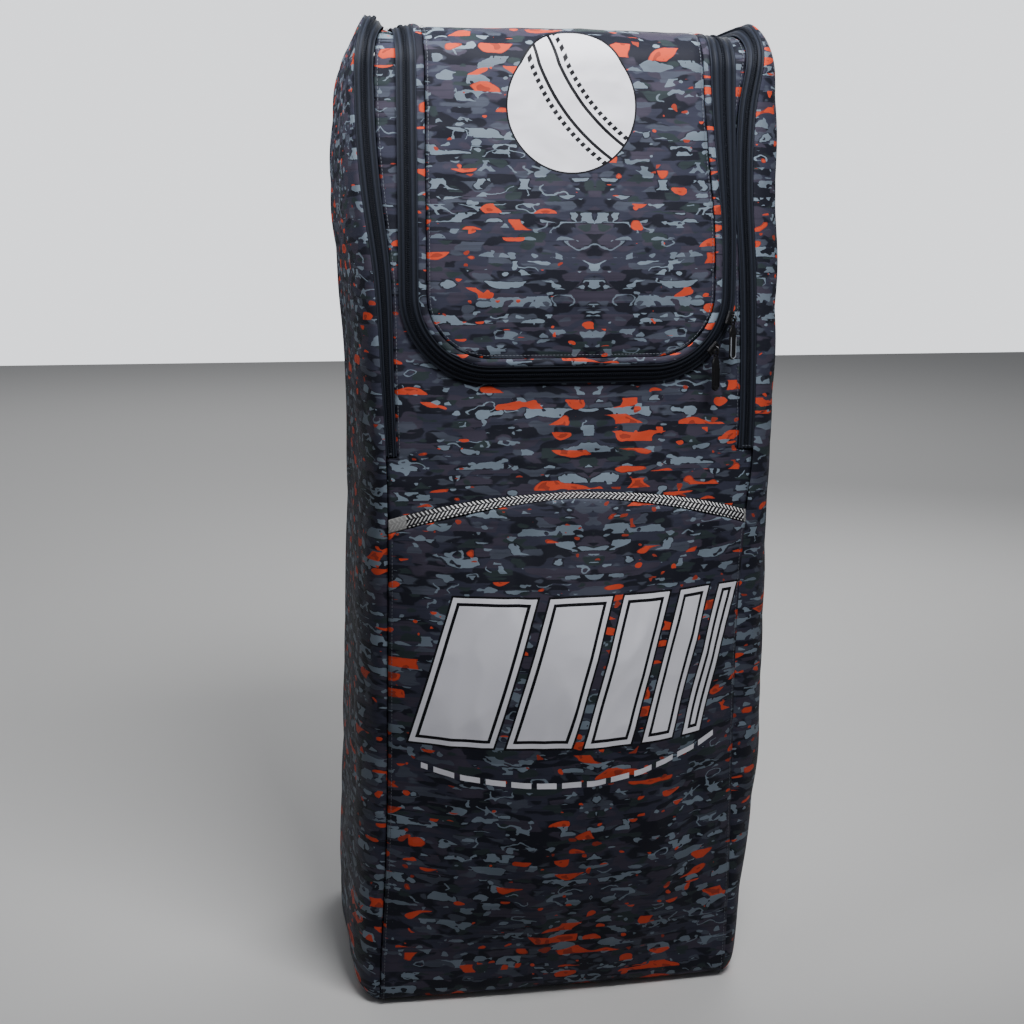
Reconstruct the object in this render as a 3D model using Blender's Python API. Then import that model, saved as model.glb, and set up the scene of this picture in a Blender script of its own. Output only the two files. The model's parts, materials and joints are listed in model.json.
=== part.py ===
# A tall padded cricket kit bag that stands on its own base. Metres, +Z up, the front faces -Y,
# and the origin is on the ground under the middle of the bag's outermost box.
#
# The body is a band of front, top and back panels between two side panels. The band follows a
# path in the Y-Z plane: up the front, over the top and down the back. A place on the band is
# given by x across it, s along the path, and h above its surface.
import math

import bmesh
import bpy
from mathutils import Matrix, Vector

# Body
BODY_HEIGHT = 0.948
BODY_WIDTH = 0.420
BODY_DEPTH = 0.300
WALL = 0.003
BACK_WIDTH_SHARE = 0.94
SEAM_GAP = 0.0005
LAY_GAP = 0.0010
TOP_EDGE_RADIUS = 0.048
BASE_EDGE_RADIUS = 0.018
FRONT_CROWN = 0.030
BACK_CROWN = 0.014
TOP_SAG = 0.043
SIDE_ROUNDING = 5.0
SIDE_TOP_ROUNDING = 14.0
SIDE_BASE_ROUNDING = 60.0

# Main zip, which runs up both front edges, along the top's edges and across the rear. Its tapes
# show narrower at their lower ends, on the left side (-1) and on the right side (1).
MAIN_ZIP_START = 0.546
MAIN_ZIP_WIDTH = 0.017
MAIN_ZIP_START_WIDTHS = {-1: 0.009, 1: 0.015}
MAIN_ZIP_WIDENING = 0.26
TAPE_THICKNESS = 0.0014
COIL_RADIUS = 0.0016

# Helmet pocket on the upper front, which wraps over onto the top
FLAP_MIDDLE = -0.0015
FLAP_SIDE_INSET = 0.0675
FLAP_BOTTOM = 0.632
FLAP_LEAN = 0.016
FLAP_LEAN_START = 0.720
FLAP_LEAN_END = 0.915
FLAP_FOOT_LEAN_SHARE = 0.3
FLAP_CORNER_RADIUS = 0.065
FLAP_TOP_REACH = 0.070
FLAP_WALL = 0.0025
FLAP_EDGE_HEIGHT = 0.0130
FLAP_CROWN = 0.009
FLAP_FADE = 0.090
FLAP_EDGING_WIDTH = 0.007
FLAP_EDGING_LIFT = 0.0008
FLAP_ZIP_BAND = 0.017

# Big lower pocket
LOWER_POCKET_SIDE = 0.475
LOWER_POCKET_RISE = 0.034
LOWER_POCKET_BULGE = 0.032
LOWER_POCKET_WALL = 0.0025
LOWER_POCKET_ARCH_POWER = 1.7
TRIM_WIDTH = 0.013
TRIM_THICKNESS = 0.0016
TRIM_LEAST_CLIMB_SHARE = 1 / 3

# Sliders and pulls of the helmet pocket's zip, by their angle round its right corner
SLIDER_ANGLES = {"upper": 17.5, "lower": 42.0}
SLIDER_LENGTH = 0.013
SLIDER_WIDTH = 0.0085
SLIDER_THICKNESS = 0.0026
CROWN_RADIUS = 0.0034
CROWN_WIRE = 0.00075
HINGE_HEIGHT = 0.0024
PULL_LENGTH = 0.040
PULL_WIDTH = 0.0085
PULL_NECK_WIDTH = 0.0056
PULL_THICKNESS = 0.0016
PULL_BAR = 0.0010
PULL_EYE_LENGTH = 0.0041
PULL_EYE_WIDTH = 0.0026

# Heights up the body with the place of both seams and both sides there, as shares of half the
# body's width, and the swell of front and back, as shares of their crowns.
SECTION_COLUMNS = ("height", "left_seam", "right_seam", "left_side", "right_side", "front", "back")
SECTIONS = (
    (0.00, 0.898, 0.785, 1.005, 0.890, 0.00, 0.00),
    (0.07, 0.885, 0.795, 1.007, 0.915, 0.42, 0.45),
    (0.14, 0.865, 0.800, 0.995, 0.955, 0.78, 0.75),
    (0.23, 0.848, 0.800, 0.975, 1.008, 1.00, 1.00),
    (0.38, 0.836, 0.805, 0.953, 1.023, 0.96, 1.00),
    (0.48, 0.828, 0.825, 0.932, 1.018, 0.75, 0.95),
    (0.56, 0.828, 0.862, 0.923, 1.022, 0.58, 0.85),
    (0.65, 0.845, 0.870, 0.932, 1.028, 0.46, 0.80),
    (0.75, 0.872, 0.858, 0.955, 1.028, 0.38, 0.80),
    (0.84, 0.924, 0.832, 0.985, 1.020, 0.33, 0.80),
    (0.91, 0.942, 0.836, 0.970, 1.012, 0.27, 0.65),
    (0.97, 0.930, 0.872, 0.940, 0.990, 0.18, 0.40),
    (1.00, 0.882, 0.860, 0.900, 0.960, 0.10, 0.20),
)

# Swell of the lower pocket up its height, as shares of its height and of its bulge.
POCKET_COLUMNS = ("height", "swell")
POCKET_SWELL = (
    (0.00, 0.00),
    (0.12, 0.45),
    (0.26, 0.86),
    (0.46, 1.00),
    (0.66, 0.94),
    (0.85, 0.66),
    (1.00, 0.36),
)

# How closely meshes are worked: the turn to either side of a place on the zip that gives its
# direction there, in radians, the share of a pull's bar within which a mesh's points are one,
# and the angle in degrees above which an edge is shaded sharp
DIRECTION_TURN = 0.02
WELD_SHARE = 0.01
SHARP_ANGLE = 40.0

# Colour as red, green, blue; roughness; metallic
FINISHES = {
    "camouflage": ((0.070, 0.078, 0.100), 0.75, 0.0),
    "tape": ((0.012, 0.013, 0.016), 0.80, 0.0),
    "coil": ((0.010, 0.010, 0.012), 0.45, 0.0),
    "trim": ((0.220, 0.220, 0.225), 0.65, 0.0),
    "slider": ((0.020, 0.020, 0.022), 0.35, 0.8),
    "pull": ((0.012, 0.012, 0.013), 0.50, 0.0),
}

HALF_DEPTH = BODY_DEPTH / 2
HALF_WIDTH = BODY_WIDTH / 2
FLAP_HALF_WIDTH = HALF_WIDTH - FLAP_SIDE_INSET

# The band sits behind the origin by half of what the front stands out further than the back
BODY_MIDDLE = (FRONT_CROWN + LOWER_POCKET_BULGE + LOWER_POCKET_WALL - BACK_CROWN) / 2

# Lengths along the band's path where its straight runs and corners meet
BASE_ARC = BASE_EDGE_RADIUS * math.pi / 2
TOP_ARC = TOP_EDGE_RADIUS * math.pi / 2
FRONT_END = BASE_ARC + BODY_HEIGHT - BASE_EDGE_RADIUS - TOP_EDGE_RADIUS
TOP_START = FRONT_END + TOP_ARC
TOP_END = TOP_START + BODY_DEPTH - 2 * TOP_EDGE_RADIUS
BACK_START = TOP_END + TOP_ARC
BACK_END = BACK_START + BODY_HEIGHT - BASE_EDGE_RADIUS - TOP_EDGE_RADIUS
PATH_END = BACK_END + BASE_ARC
REAR_ZIP_MIDDLE = TOP_END + TOP_ARC / 2

# The lower pocket's skin starts a little way down the front's lower corner
POCKET_START = BASE_ARC * 2 / 3


def front_station(height):
    """Length along the path of a height on the front's straight run."""
    return BASE_ARC + height - BASE_EDGE_RADIUS


def smooth(share):
    share = min(max(share, 0.0), 1.0)
    return share * share * (3 - 2 * share)


def from_table(rows, columns, name, at):
    """Reads a column at a share of the first one, along a smooth curve through the rows."""
    column = columns.index(name)
    last = len(rows) - 1
    i = min(max(sum(row[0] <= at for row in rows) - 1, 0), last - 1)
    steps = [rows[k + 1][0] - rows[k][0] for k in range(last)]
    slopes = [(rows[k + 1][column] - rows[k][column]) / steps[k] for k in range(last)]
    low = slopes[0] if i == 0 else (slopes[i - 1] + slopes[i]) / 2
    high = slopes[-1] if i == last - 1 else (slopes[i] + slopes[i + 1]) / 2
    t = min(max((at - rows[i][0]) / steps[i], 0.0), 1.0)
    return (
        rows[i][column] * (2 * t**3 - 3 * t**2 + 1)
        + low * steps[i] * (t**3 - 2 * t**2 + t)
        + rows[i + 1][column] * (3 * t**2 - 2 * t**3)
        + high * steps[i] * (t**3 - t**2)
    )


def section(name, z):
    return from_table(SECTIONS, SECTION_COLUMNS, name, z / BODY_HEIGHT)


def seam(side, z):
    """Distance of a seam from the middle plane. Side is -1 for the left and 1 for the right."""
    return HALF_WIDTH * section("left_seam" if side < 0 else "right_seam", z)


def side_reach(side, z):
    return HALF_WIDTH * section("left_side" if side < 0 else "right_side", z)


def along_depth(y):
    """0 at the front plane and 1 at the back one."""
    return (y - BODY_MIDDLE) / BODY_DEPTH + 0.5


def seam_at(side, z, y):
    """The seams draw together towards the back."""
    return seam(side, z) * (1 - (1 - BACK_WIDTH_SHARE) * along_depth(y))


def path_place(s):
    """Base point, outward direction and share of the way onto the top, in the Y-Z plane."""
    front, back = BODY_MIDDLE - HALF_DEPTH, BODY_MIDDLE + HALF_DEPTH
    low, high = BASE_EDGE_RADIUS, BODY_HEIGHT - TOP_EDGE_RADIUS
    if s < BASE_ARC:
        a = s / BASE_EDGE_RADIUS
        out = Vector((0, -math.sin(a), -math.cos(a)))
        return Vector((0, front + low, low)) + BASE_EDGE_RADIUS * out, out, 0.0
    if s < FRONT_END:
        return Vector((0, front, low + s - BASE_ARC)), Vector((0, -1, 0)), 0.0
    if s < TOP_START:
        a = (s - FRONT_END) / TOP_EDGE_RADIUS
        out = Vector((0, -math.cos(a), math.sin(a)))
        centre = Vector((0, front + TOP_EDGE_RADIUS, high))
        return centre + TOP_EDGE_RADIUS * out, out, smooth(a / (math.pi / 2))
    if s < TOP_END:
        y = front + TOP_EDGE_RADIUS + s - TOP_START
        return Vector((0, y, BODY_HEIGHT)), Vector((0, 0, 1)), 1.0
    if s < BACK_START:
        a = (s - TOP_END) / TOP_EDGE_RADIUS
        out = Vector((0, math.sin(a), math.cos(a)))
        centre = Vector((0, back - TOP_EDGE_RADIUS, high))
        return centre + TOP_EDGE_RADIUS * out, out, smooth(1 - a / (math.pi / 2))
    if s < BACK_END:
        return Vector((0, back, high - (s - BACK_START))), Vector((0, 1, 0)), 0.0
    a = min((s - BACK_END) / BASE_EDGE_RADIUS, math.pi / 2)
    out = Vector((0, math.cos(a), -math.sin(a)))
    return Vector((0, back - low, low)) + BASE_EDGE_RADIUS * out, out, 0.0


def band_point(x, s, h=0.0):
    """A point h above the body's band, which swells on the front and back and sags on the top."""
    base, out, on_top = path_place(s)
    across = min(abs(x) / seam_at(-1 if x < 0 else 1, base.z, base.y), 1.0)
    if s < (TOP_START + TOP_END) / 2:
        crown = FRONT_CROWN * section("front", base.z)
    else:
        crown = BACK_CROWN * section("back", base.z)
    swell = (1 - on_top) * crown * (1 - across**2) - on_top * TOP_SAG * (1 - across**3)
    return base + Vector((x, 0, 0)) + (swell + h) * out


def band_normal(x, s):
    step = WALL / 3
    across = band_point(x + step, s) - band_point(x - step, s)
    along = band_point(x, s + step) - band_point(x, s - step)
    return across.cross(along).normalized()


def steps(start, end, count):
    return [start + (end - start) * i / count for i in range(count + 1)]


def top_rows():
    """Stations over the top's front edge, and along the top."""
    return steps(FRONT_END, TOP_START, 6), steps(TOP_START, TOP_END, 6)


def body_rows():
    """Stations up the front to the top, which all pieces beside a seam share."""
    start = front_station(MAIN_ZIP_START)
    return (
        steps(0.0, BASE_ARC, 3)
        + steps(BASE_ARC, start, 9)[1:]
        + steps(start, FRONT_END, 8)[1:]
        + top_rows()[0][1:]
    )


def add_material(obj, finish):
    colour, roughness, metallic = FINISHES[finish]
    material = bpy.data.materials.new(obj.name)
    material.use_nodes = True
    shader = material.node_tree.nodes["Principled BSDF"]
    shader.inputs["Base Color"].default_value = (*colour, 1.0)
    shader.inputs["Roughness"].default_value = roughness
    shader.inputs["Metallic"].default_value = metallic
    obj.data.materials.clear()
    obj.data.materials.append(material)


def add_object(name, mesh, collection, finish):
    obj = bpy.data.objects.new(name, mesh)
    collection.objects.link(obj)
    mesh.shade_smooth()
    mesh.set_sharp_from_angle(angle=math.radians(SHARP_ANGLE))
    add_material(obj, finish)
    return obj


def add_wall(name, collection, finish, columns, rows, outer, inner):
    """A sheet with a thickness: a grid whose faces are extruded, with its two skins placed by
    outer(i, j) and inner(i, j)."""
    bm = bmesh.new()
    bmesh.ops.create_grid(bm, x_segments=columns, y_segments=rows, size=0.5)
    outside = list(bm.verts)
    extruded = bmesh.ops.extrude_face_region(bm, geom=bm.faces[:])
    inside = [item for item in extruded["geom"] if isinstance(item, bmesh.types.BMVert)]
    for verts, place in ((outside, outer), (inside, inner)):
        cells = [(round((v.co.x + 0.5) * columns), round((v.co.y + 0.5) * rows)) for v in verts]
        for v, (i, j) in zip(verts, cells):
            v.co = place(i, j)
    bmesh.ops.recalc_face_normals(bm, faces=bm.faces[:])
    if bm.calc_volume(signed=True) < 0:
        bmesh.ops.reverse_faces(bm, faces=bm.faces[:])
    mesh = bpy.data.meshes.new(name)
    bm.to_mesh(mesh)
    bm.free()
    return add_object(name, mesh, collection, finish)


def add_band(name, collection, finish, wall, columns, stations, edges, height):
    """A stretch of the band. Edges(s) gives its left and right x, height(x, s) its outer skin."""

    def place(i, j, depth):
        s = stations[j]
        left, right = edges(s)
        x = left + (right - left) * i / columns
        return band_point(x, s, height(x, s) - depth)

    return add_wall(
        name,
        collection,
        finish,
        columns,
        len(stations) - 1,
        lambda i, j: place(i, j, 0.0),
        lambda i, j: place(i, j, wall),
    )


def add_tube(name, collection, finish, points, radius, resolution=1):
    curve = bpy.data.curves.new(name, "CURVE")
    curve.dimensions = "3D"
    curve.bevel_depth = radius
    curve.bevel_resolution = resolution
    curve.use_fill_caps = True
    spline = curve.splines.new("POLY")
    spline.points.add(len(points) - 1)
    for point, place in zip(spline.points, points):
        point.co = (*place, 1.0)
    obj = bpy.data.objects.new(name, curve)
    collection.objects.link(obj)
    add_material(obj, finish)
    return obj


def main_zip_width(side, s):
    """The zip shows narrower at its lower ends, where the panels close over it."""
    widened = smooth((s - front_station(MAIN_ZIP_START)) / MAIN_ZIP_WIDENING)
    start = MAIN_ZIP_START_WIDTHS[side]
    return start + (MAIN_ZIP_WIDTH - start) * widened


def full_edges(s):
    base = path_place(s)[0]
    left, right = (seam_at(side, base.z, base.y) for side in (-1, 1))
    return -left + SEAM_GAP, right - SEAM_GAP


def zipped_edges(s):
    left, right = full_edges(s)
    left += main_zip_width(-1, s) + SEAM_GAP
    return left, right - main_zip_width(1, s) - SEAM_GAP


def main_zip_stations():
    start = front_station(MAIN_ZIP_START) + 3 * SEAM_GAP
    rear = REAR_ZIP_MIDDLE + MAIN_ZIP_WIDTH / 2
    return (
        [start]
        + [s for s in body_rows() if s > start]
        + top_rows()[1][1:]
        + steps(TOP_END, rear, 4)[1:]
    )


def add_front_panel(collection):
    start = front_station(MAIN_ZIP_START)
    seam_station = (FRONT_END + TOP_START) / 2
    stations = [s for s in body_rows() if s <= seam_station]
    split = next(i for i, s in enumerate(stations) if s > start + SEAM_GAP)
    stations.insert(split, start + 2 * SEAM_GAP)
    add_band(
        "front_panel",
        collection,
        "camouflage",
        WALL,
        16,
        stations,
        lambda s: full_edges(s) if s < start + SEAM_GAP else zipped_edges(s),
        lambda x, s: 0.0,
    )


def add_top_panel(collection):
    start = (FRONT_END + TOP_START) / 2 + SEAM_GAP
    end = REAR_ZIP_MIDDLE - MAIN_ZIP_WIDTH / 2 - SEAM_GAP
    stations = (
        [start]
        + [s for s in body_rows() if s > start]
        + top_rows()[1][1:]
        + steps(TOP_END, end, 2)[1:]
    )
    add_band(
        "top_panel",
        collection,
        "camouflage",
        WALL,
        16,
        stations,
        zipped_edges,
        lambda x, s: 0.0,
    )


def add_back_panel(collection):
    start = REAR_ZIP_MIDDLE + MAIN_ZIP_WIDTH / 2 + SEAM_GAP
    rows = [PATH_END - s for s in reversed(body_rows())]
    add_band(
        "back_panel",
        collection,
        "camouflage",
        WALL,
        8,
        [start] + [s for s in rows if s > start + SEAM_GAP],
        full_edges,
        lambda x, s: 0.0,
    )


def add_base_panel(collection):
    half_length = HALF_DEPTH - BASE_EDGE_RADIUS - SEAM_GAP
    bm = bmesh.new()
    bmesh.ops.create_cube(bm, size=1.0)
    for v in bm.verts:
        y = BODY_MIDDLE + math.copysign(half_length, v.co.y)
        side = -1 if v.co.x < 0 else 1
        x = side * (seam_at(side, 0.0, y) - SEAM_GAP)
        v.co = (x, y, WALL if v.co.z > 0 else 0.0)
    mesh = bpy.data.meshes.new("base_panel")
    bm.to_mesh(mesh)
    bm.free()
    add_object("base_panel", mesh, collection, "camouflage")


def side_point(side, turn, s, inset):
    """A side panel's skin, inset into the body, on the row that meets the seams at station s.
    Turn runs from 0 at the front seam to 1 at the back one."""
    base, out, _ = path_place(s)
    edge = base - inset * out
    angle = math.pi * turn
    share = math.copysign(abs(math.cos(angle)) ** (2 / SIDE_ROUNDING), math.cos(angle))
    y = BODY_MIDDLE + share * (edge.y - BODY_MIDDLE)
    climb = 2 * base.z / BODY_HEIGHT - 1
    rounding = SIDE_TOP_ROUNDING if climb > 0 else SIDE_BASE_ROUNDING
    swell = math.sin(angle) * math.sqrt(max(1 - abs(climb) ** rounding, 0.0))
    rim = seam_at(side, base.z, BODY_MIDDLE + share * (base.y - BODY_MIDDLE))
    reach = max(side_reach(side, base.z) - rim, 0.0) - inset
    return Vector((side * (rim + reach * swell), y, edge.z))


def add_side_panel(name, collection, side):
    columns, rows = 12, body_rows()

    def place(i, j, inset):
        turn = i / columns if side > 0 else 1 - i / columns
        return side_point(side, turn, rows[j], inset)

    add_wall(
        name,
        collection,
        "camouflage",
        columns,
        len(rows) - 1,
        lambda i, j: place(i, j, 0.0),
        lambda i, j: place(i, j, WALL),
    )


def main_zip_edges(side):
    def edges(s):
        outer = full_edges(s)[0 if side < 0 else 1]
        inner = outer - side * main_zip_width(side, s)
        return min(outer, inner), max(outer, inner)

    return edges


def coil_points(middles):
    """The centreline of a coil that lies on a tape whose middle runs through the x and s."""
    lift = COIL_RADIUS + SEAM_GAP
    return [band_point(x, s) + band_normal(x, s) * lift for x, s in middles]


def add_main_zip(collection, name, side):
    stations = main_zip_stations()
    edges = main_zip_edges(side)
    add_band(
        f"main_zip_tape_{name}",
        collection,
        "tape",
        TAPE_THICKNESS,
        2,
        stations,
        edges,
        lambda x, s: 0.0,
    )
    middles = [(sum(edges(s)) / 2, s) for s in stations]
    add_tube(f"main_zip_coil_{name}", collection, "coil", coil_points(middles), COIL_RADIUS)


def add_rear_zip(collection):
    half = MAIN_ZIP_WIDTH / 2
    add_band(
        "main_zip_tape_rear",
        collection,
        "tape",
        TAPE_THICKNESS,
        10,
        steps(REAR_ZIP_MIDDLE - half, REAR_ZIP_MIDDLE + half, 2),
        zipped_edges,
        lambda x, s: 0.0,
    )
    middles = [(x, REAR_ZIP_MIDDLE) for x in steps(*zipped_edges(REAR_ZIP_MIDDLE), 10)]
    add_tube("main_zip_coil_rear", collection, "coil", coil_points(middles), COIL_RADIUS)
    add_rear_slider(collection)


def add_plate(name, collection, coil, out, along):
    """A slider's bevelled top plate, which lies on a coil whose centre, outward direction and
    own direction are given. Gives the object and the plate's middle."""
    bm = bmesh.new()
    bmesh.ops.create_cube(bm, size=1.0)
    bmesh.ops.scale(bm, vec=(SLIDER_LENGTH, SLIDER_WIDTH, SLIDER_THICKNESS), verts=bm.verts)
    bmesh.ops.bevel(bm, geom=bm.edges[:], offset=SLIDER_THICKNESS / 4, segments=1, affect="EDGES")
    turn = Matrix((along, out.cross(along), out)).transposed().to_4x4()
    middle = coil + out * (COIL_RADIUS + SEAM_GAP + SLIDER_THICKNESS / 2)
    bm.transform(Matrix.Translation(middle) @ turn)
    mesh = bpy.data.meshes.new(name)
    bm.to_mesh(mesh)
    bm.free()
    return add_object(name, mesh, collection, "slider"), middle


def add_rear_slider(collection):
    """The hidden slider of the main zip, one plain block on the rear coil."""
    out = band_normal(0.0, REAR_ZIP_MIDDLE)
    coil = band_point(0.0, REAR_ZIP_MIDDLE) + (COIL_RADIUS + SEAM_GAP) * out
    add_plate("main_zip_slider", collection, coil, out, Vector((1, 0, 0)))


def flap_end():
    return TOP_START + FLAP_TOP_REACH


def flap_lean(s, offset=0.0):
    """The flap's right edge leans in towards the top, and the zip's foot leans less."""
    start = front_station(FLAP_LEAN_START)
    rise = smooth((s - start) / (FLAP_LEAN_END - FLAP_LEAN_START))
    foot = min(max(offset / FLAP_ZIP_BAND, 0.0), 1.0)
    return FLAP_LEAN * rise * (1 - (1 - FLAP_FOOT_LEAN_SHARE) * foot)


def flap_outline(offset):
    """The helmet pocket's U outline, as x and s, moved outwards by an offset: down the left
    side, round the bottom and up the right side."""
    bottom, end = front_station(FLAP_BOTTOM), flap_end()
    radius, half = FLAP_CORNER_RADIUS, FLAP_HALF_WIDTH
    corner_s, corner_x = bottom + radius, half - radius
    over_edge, along_top = top_rows()
    rising = (
        steps(corner_s, FRONT_END, 6)[1:]
        + over_edge[1:]
        + [s for s in along_top[1:] if s < end]
        + [end]
    )
    turns = steps(0.0, math.pi / 2, 7)
    arc = [
        (corner_x + (radius + offset) * math.cos(a), corner_s - (radius + offset) * math.sin(a))
        for a in turns
    ]
    right = [(half + offset, s) for s in reversed(rising)] + arc
    flat = [(x, bottom - offset) for x in steps(corner_x, -corner_x, 5)[1:-1]]
    left = [(-x, s) for x, s in reversed(right)]
    right = [(x - flap_lean(s, offset), s) for x, s in right]
    return [(FLAP_MIDDLE + x, s) for x, s in reversed(right + flat + left)]


def flap_fade(s):
    """1 on the front, falling where the pocket runs out on the top."""
    least = (FLAP_WALL + LAY_GAP) / FLAP_EDGE_HEIGHT
    return least + (1 - least) * smooth((flap_end() - s) / FLAP_FADE)


def flap_height(x, s):
    """Height of the pocket's face above the band."""
    across = min(abs(x - FLAP_MIDDLE) / FLAP_HALF_WIDTH, 1.0)
    from_bottom = smooth((s - front_station(FLAP_BOTTOM)) / FLAP_FADE)
    return flap_fade(s) * (FLAP_EDGE_HEIGHT + FLAP_CROWN * (1 - across**2) * from_bottom)


def add_flap_face(collection):
    inset = FLAP_EDGING_WIDTH + SEAM_GAP
    radius = FLAP_CORNER_RADIUS - inset
    half = FLAP_HALF_WIDTH - inset
    bottom = front_station(FLAP_BOTTOM) + inset
    turns = steps(0.0, math.pi / 2, 6)
    corner = [bottom + radius * (1 - math.cos(a)) for a in turns]
    over_edge, along_top = top_rows()
    stations = (
        corner
        + steps(corner[-1], FRONT_END, 6)[1:]
        + over_edge[1:]
        + [s for s in along_top[1:] if s < flap_end()]
        + [flap_end()]
    )

    def edges(s):
        drop = max(bottom + radius - s, 0.0)
        reach = half - radius + math.sqrt(max(radius**2 - drop**2, 0.0))
        return FLAP_MIDDLE - reach, FLAP_MIDDLE + reach - flap_lean(s)

    add_band(
        "flap_pocket_face",
        collection,
        "camouflage",
        FLAP_WALL,
        10,
        stations,
        edges,
        flap_height,
    )


def add_flap_strip(name, collection, finish, wall, offsets, heights):
    """A strip that follows the U outline, from one offset and height above the band to the
    next. Heights are functions of x and s."""
    outlines = [flap_outline(offset) for offset in offsets]
    last = len(outlines[0]) - 1

    def place(i, j, depth):
        x, s = outlines[i][last - j]
        return band_point(x, s, heights[i](x, s) - depth)

    return add_wall(
        name,
        collection,
        finish,
        len(offsets) - 1,
        last,
        lambda i, j: place(i, j, 0.0),
        lambda i, j: place(i, j, wall),
    )


def flap_edge_height(x, s):
    return flap_fade(s) * FLAP_EDGE_HEIGHT


def flap_foot_height(x, s):
    return TAPE_THICKNESS + LAY_GAP


def flap_tape_height(share):
    def height(x, s):
        return flap_edge_height(x, s) * (1 - share) + flap_foot_height(x, s) * share

    return height


def add_flap_edging(collection):
    width = FLAP_EDGING_WIDTH
    add_flap_strip(
        "flap_pocket_edging",
        collection,
        "camouflage",
        FLAP_WALL,
        (-width, -width / 2, 0.0),
        (
            flap_edge_height,
            lambda x, s: flap_edge_height(x, s) + FLAP_EDGING_LIFT,
            flap_edge_height,
        ),
    )


def flap_coil_points():
    """The coil's centreline, on the middle of the slanted tape."""
    middle = (SEAM_GAP + FLAP_ZIP_BAND) / 2
    lift = COIL_RADIUS + SEAM_GAP
    points = []
    for (x, s), (out_x, out_s) in zip(flap_outline(middle), flap_outline(middle + lift)):
        drop = flap_edge_height(x, s) - flap_foot_height(x, s)
        length = math.hypot(drop, FLAP_ZIP_BAND)
        lean, rise = drop / length, FLAP_ZIP_BAND / length
        height = flap_tape_height(0.5)(x, s) + lift * rise
        points.append(band_point(x + (out_x - x) * lean, s + (out_s - s) * lean, height))
    return points


def add_flap_zip(collection):
    add_flap_strip(
        "flap_pocket_zip_tape",
        collection,
        "tape",
        TAPE_THICKNESS,
        (SEAM_GAP, (SEAM_GAP + FLAP_ZIP_BAND) / 2, FLAP_ZIP_BAND),
        (flap_tape_height(0.0), flap_tape_height(0.5), flap_tape_height(1.0)),
    )
    add_tube("flap_pocket_zip_coil", collection, "coil", flap_coil_points(), COIL_RADIUS)


def pocket_top(x):
    """Station of the lower pocket's arched edge."""
    across = abs(x) / seam(-1 if x < 0 else 1, LOWER_POCKET_SIDE)
    rise = LOWER_POCKET_RISE * max(1 - across**LOWER_POCKET_ARCH_POWER, 0.0)
    return front_station(LOWER_POCKET_SIDE) + rise


def pocket_height(x, s):
    """Height of the lower pocket's skin above the front panel."""
    z = path_place(s)[0].z
    across = min(abs(x) / seam(-1 if x < 0 else 1, z), 1.0)
    up = (s - POCKET_START) / (pocket_top(x) - POCKET_START)
    swell = from_table(POCKET_SWELL, POCKET_COLUMNS, "swell", up)
    edge = LOWER_POCKET_WALL + LAY_GAP
    return edge + LOWER_POCKET_BULGE * swell * (1 - across**2)


def add_lower_pocket(collection):
    columns, rows = 14, 14

    def place(i, j, depth):
        share = max(j - 1, 0) / (rows - 1)
        start = POCKET_START if j == 0 else BASE_ARC
        end = front_station(LOWER_POCKET_SIDE)
        left, right = full_edges(start + (end - start) * share)
        x = left + (right - left) * i / columns
        s = start + (pocket_top(x) - start) * share
        return band_point(x, s, pocket_height(x, s) - depth)

    add_wall(
        "lower_pocket_panel",
        collection,
        "camouflage",
        columns,
        rows,
        lambda i, j: place(i, j, 0.0),
        lambda i, j: place(i, j, LOWER_POCKET_WALL),
    )


def trim_place(x, share, depth):
    """The trim closes the pocket's mouth: it leans back from the pocket's edge to the body."""
    low = pocket_top(x)
    edge = pocket_height(x, low)
    foot = TRIM_THICKNESS + LAY_GAP
    fall = edge - foot
    least = TRIM_WIDTH * TRIM_LEAST_CLIMB_SHARE
    climb = math.sqrt(max(TRIM_WIDTH**2 - fall**2, least**2))
    s = low + SEAM_GAP + climb * share
    return band_point(x, s, edge - fall * share - depth)


def add_pocket_trim(collection):
    columns = 14
    left, right = full_edges(front_station(LOWER_POCKET_SIDE))

    def place(i, j, depth):
        return trim_place(left + (right - left) * i / columns, j / 2, depth)

    add_wall(
        "lower_pocket_trim",
        collection,
        "trim",
        columns,
        2,
        lambda i, j: place(i, j, 0.0),
        lambda i, j: place(i, j, TRIM_THICKNESS),
    )


def slider_place(angle):
    """Where a slider meets the coil: the coil's centre, the tape's outward direction and the
    zip's direction there."""
    turn = math.radians(angle)
    corner_x = FLAP_MIDDLE + FLAP_HALF_WIDTH - FLAP_CORNER_RADIUS
    corner_s = front_station(FLAP_BOTTOM) + FLAP_CORNER_RADIUS
    drop = FLAP_EDGE_HEIGHT - flap_foot_height(0.0, 0.0)

    def tape_point(turn, share):
        radius = FLAP_CORNER_RADIUS + SEAM_GAP + (FLAP_ZIP_BAND - SEAM_GAP) * share
        x, s = corner_x + radius * math.cos(turn), corner_s - radius * math.sin(turn)
        return band_point(x, s, FLAP_EDGE_HEIGHT - drop * share)

    ahead, behind = (tape_point(turn + step, 0.5) for step in (DIRECTION_TURN, -DIRECTION_TURN))
    along = (ahead - behind).normalized()
    out = (tape_point(turn, 1.0) - tape_point(turn, 0.0)).cross(along).normalized()
    if out.y > 0:
        out = -out
    return tape_point(turn, 0.5) + out * (COIL_RADIUS + SEAM_GAP), out, along


def hinge_frame(angle):
    """The pull's hinge: its point, its level axis, about which a positive turn lifts the pull
    outwards, and the way that its face looks."""
    centre, out, _ = slider_place(angle)
    height = COIL_RADIUS + SEAM_GAP + SLIDER_THICKNESS + HINGE_HEIGHT
    face = Vector((out.x, out.y, 0)).normalized()
    return centre + out * height, Vector((face.y, -face.x, 0)), face


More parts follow.
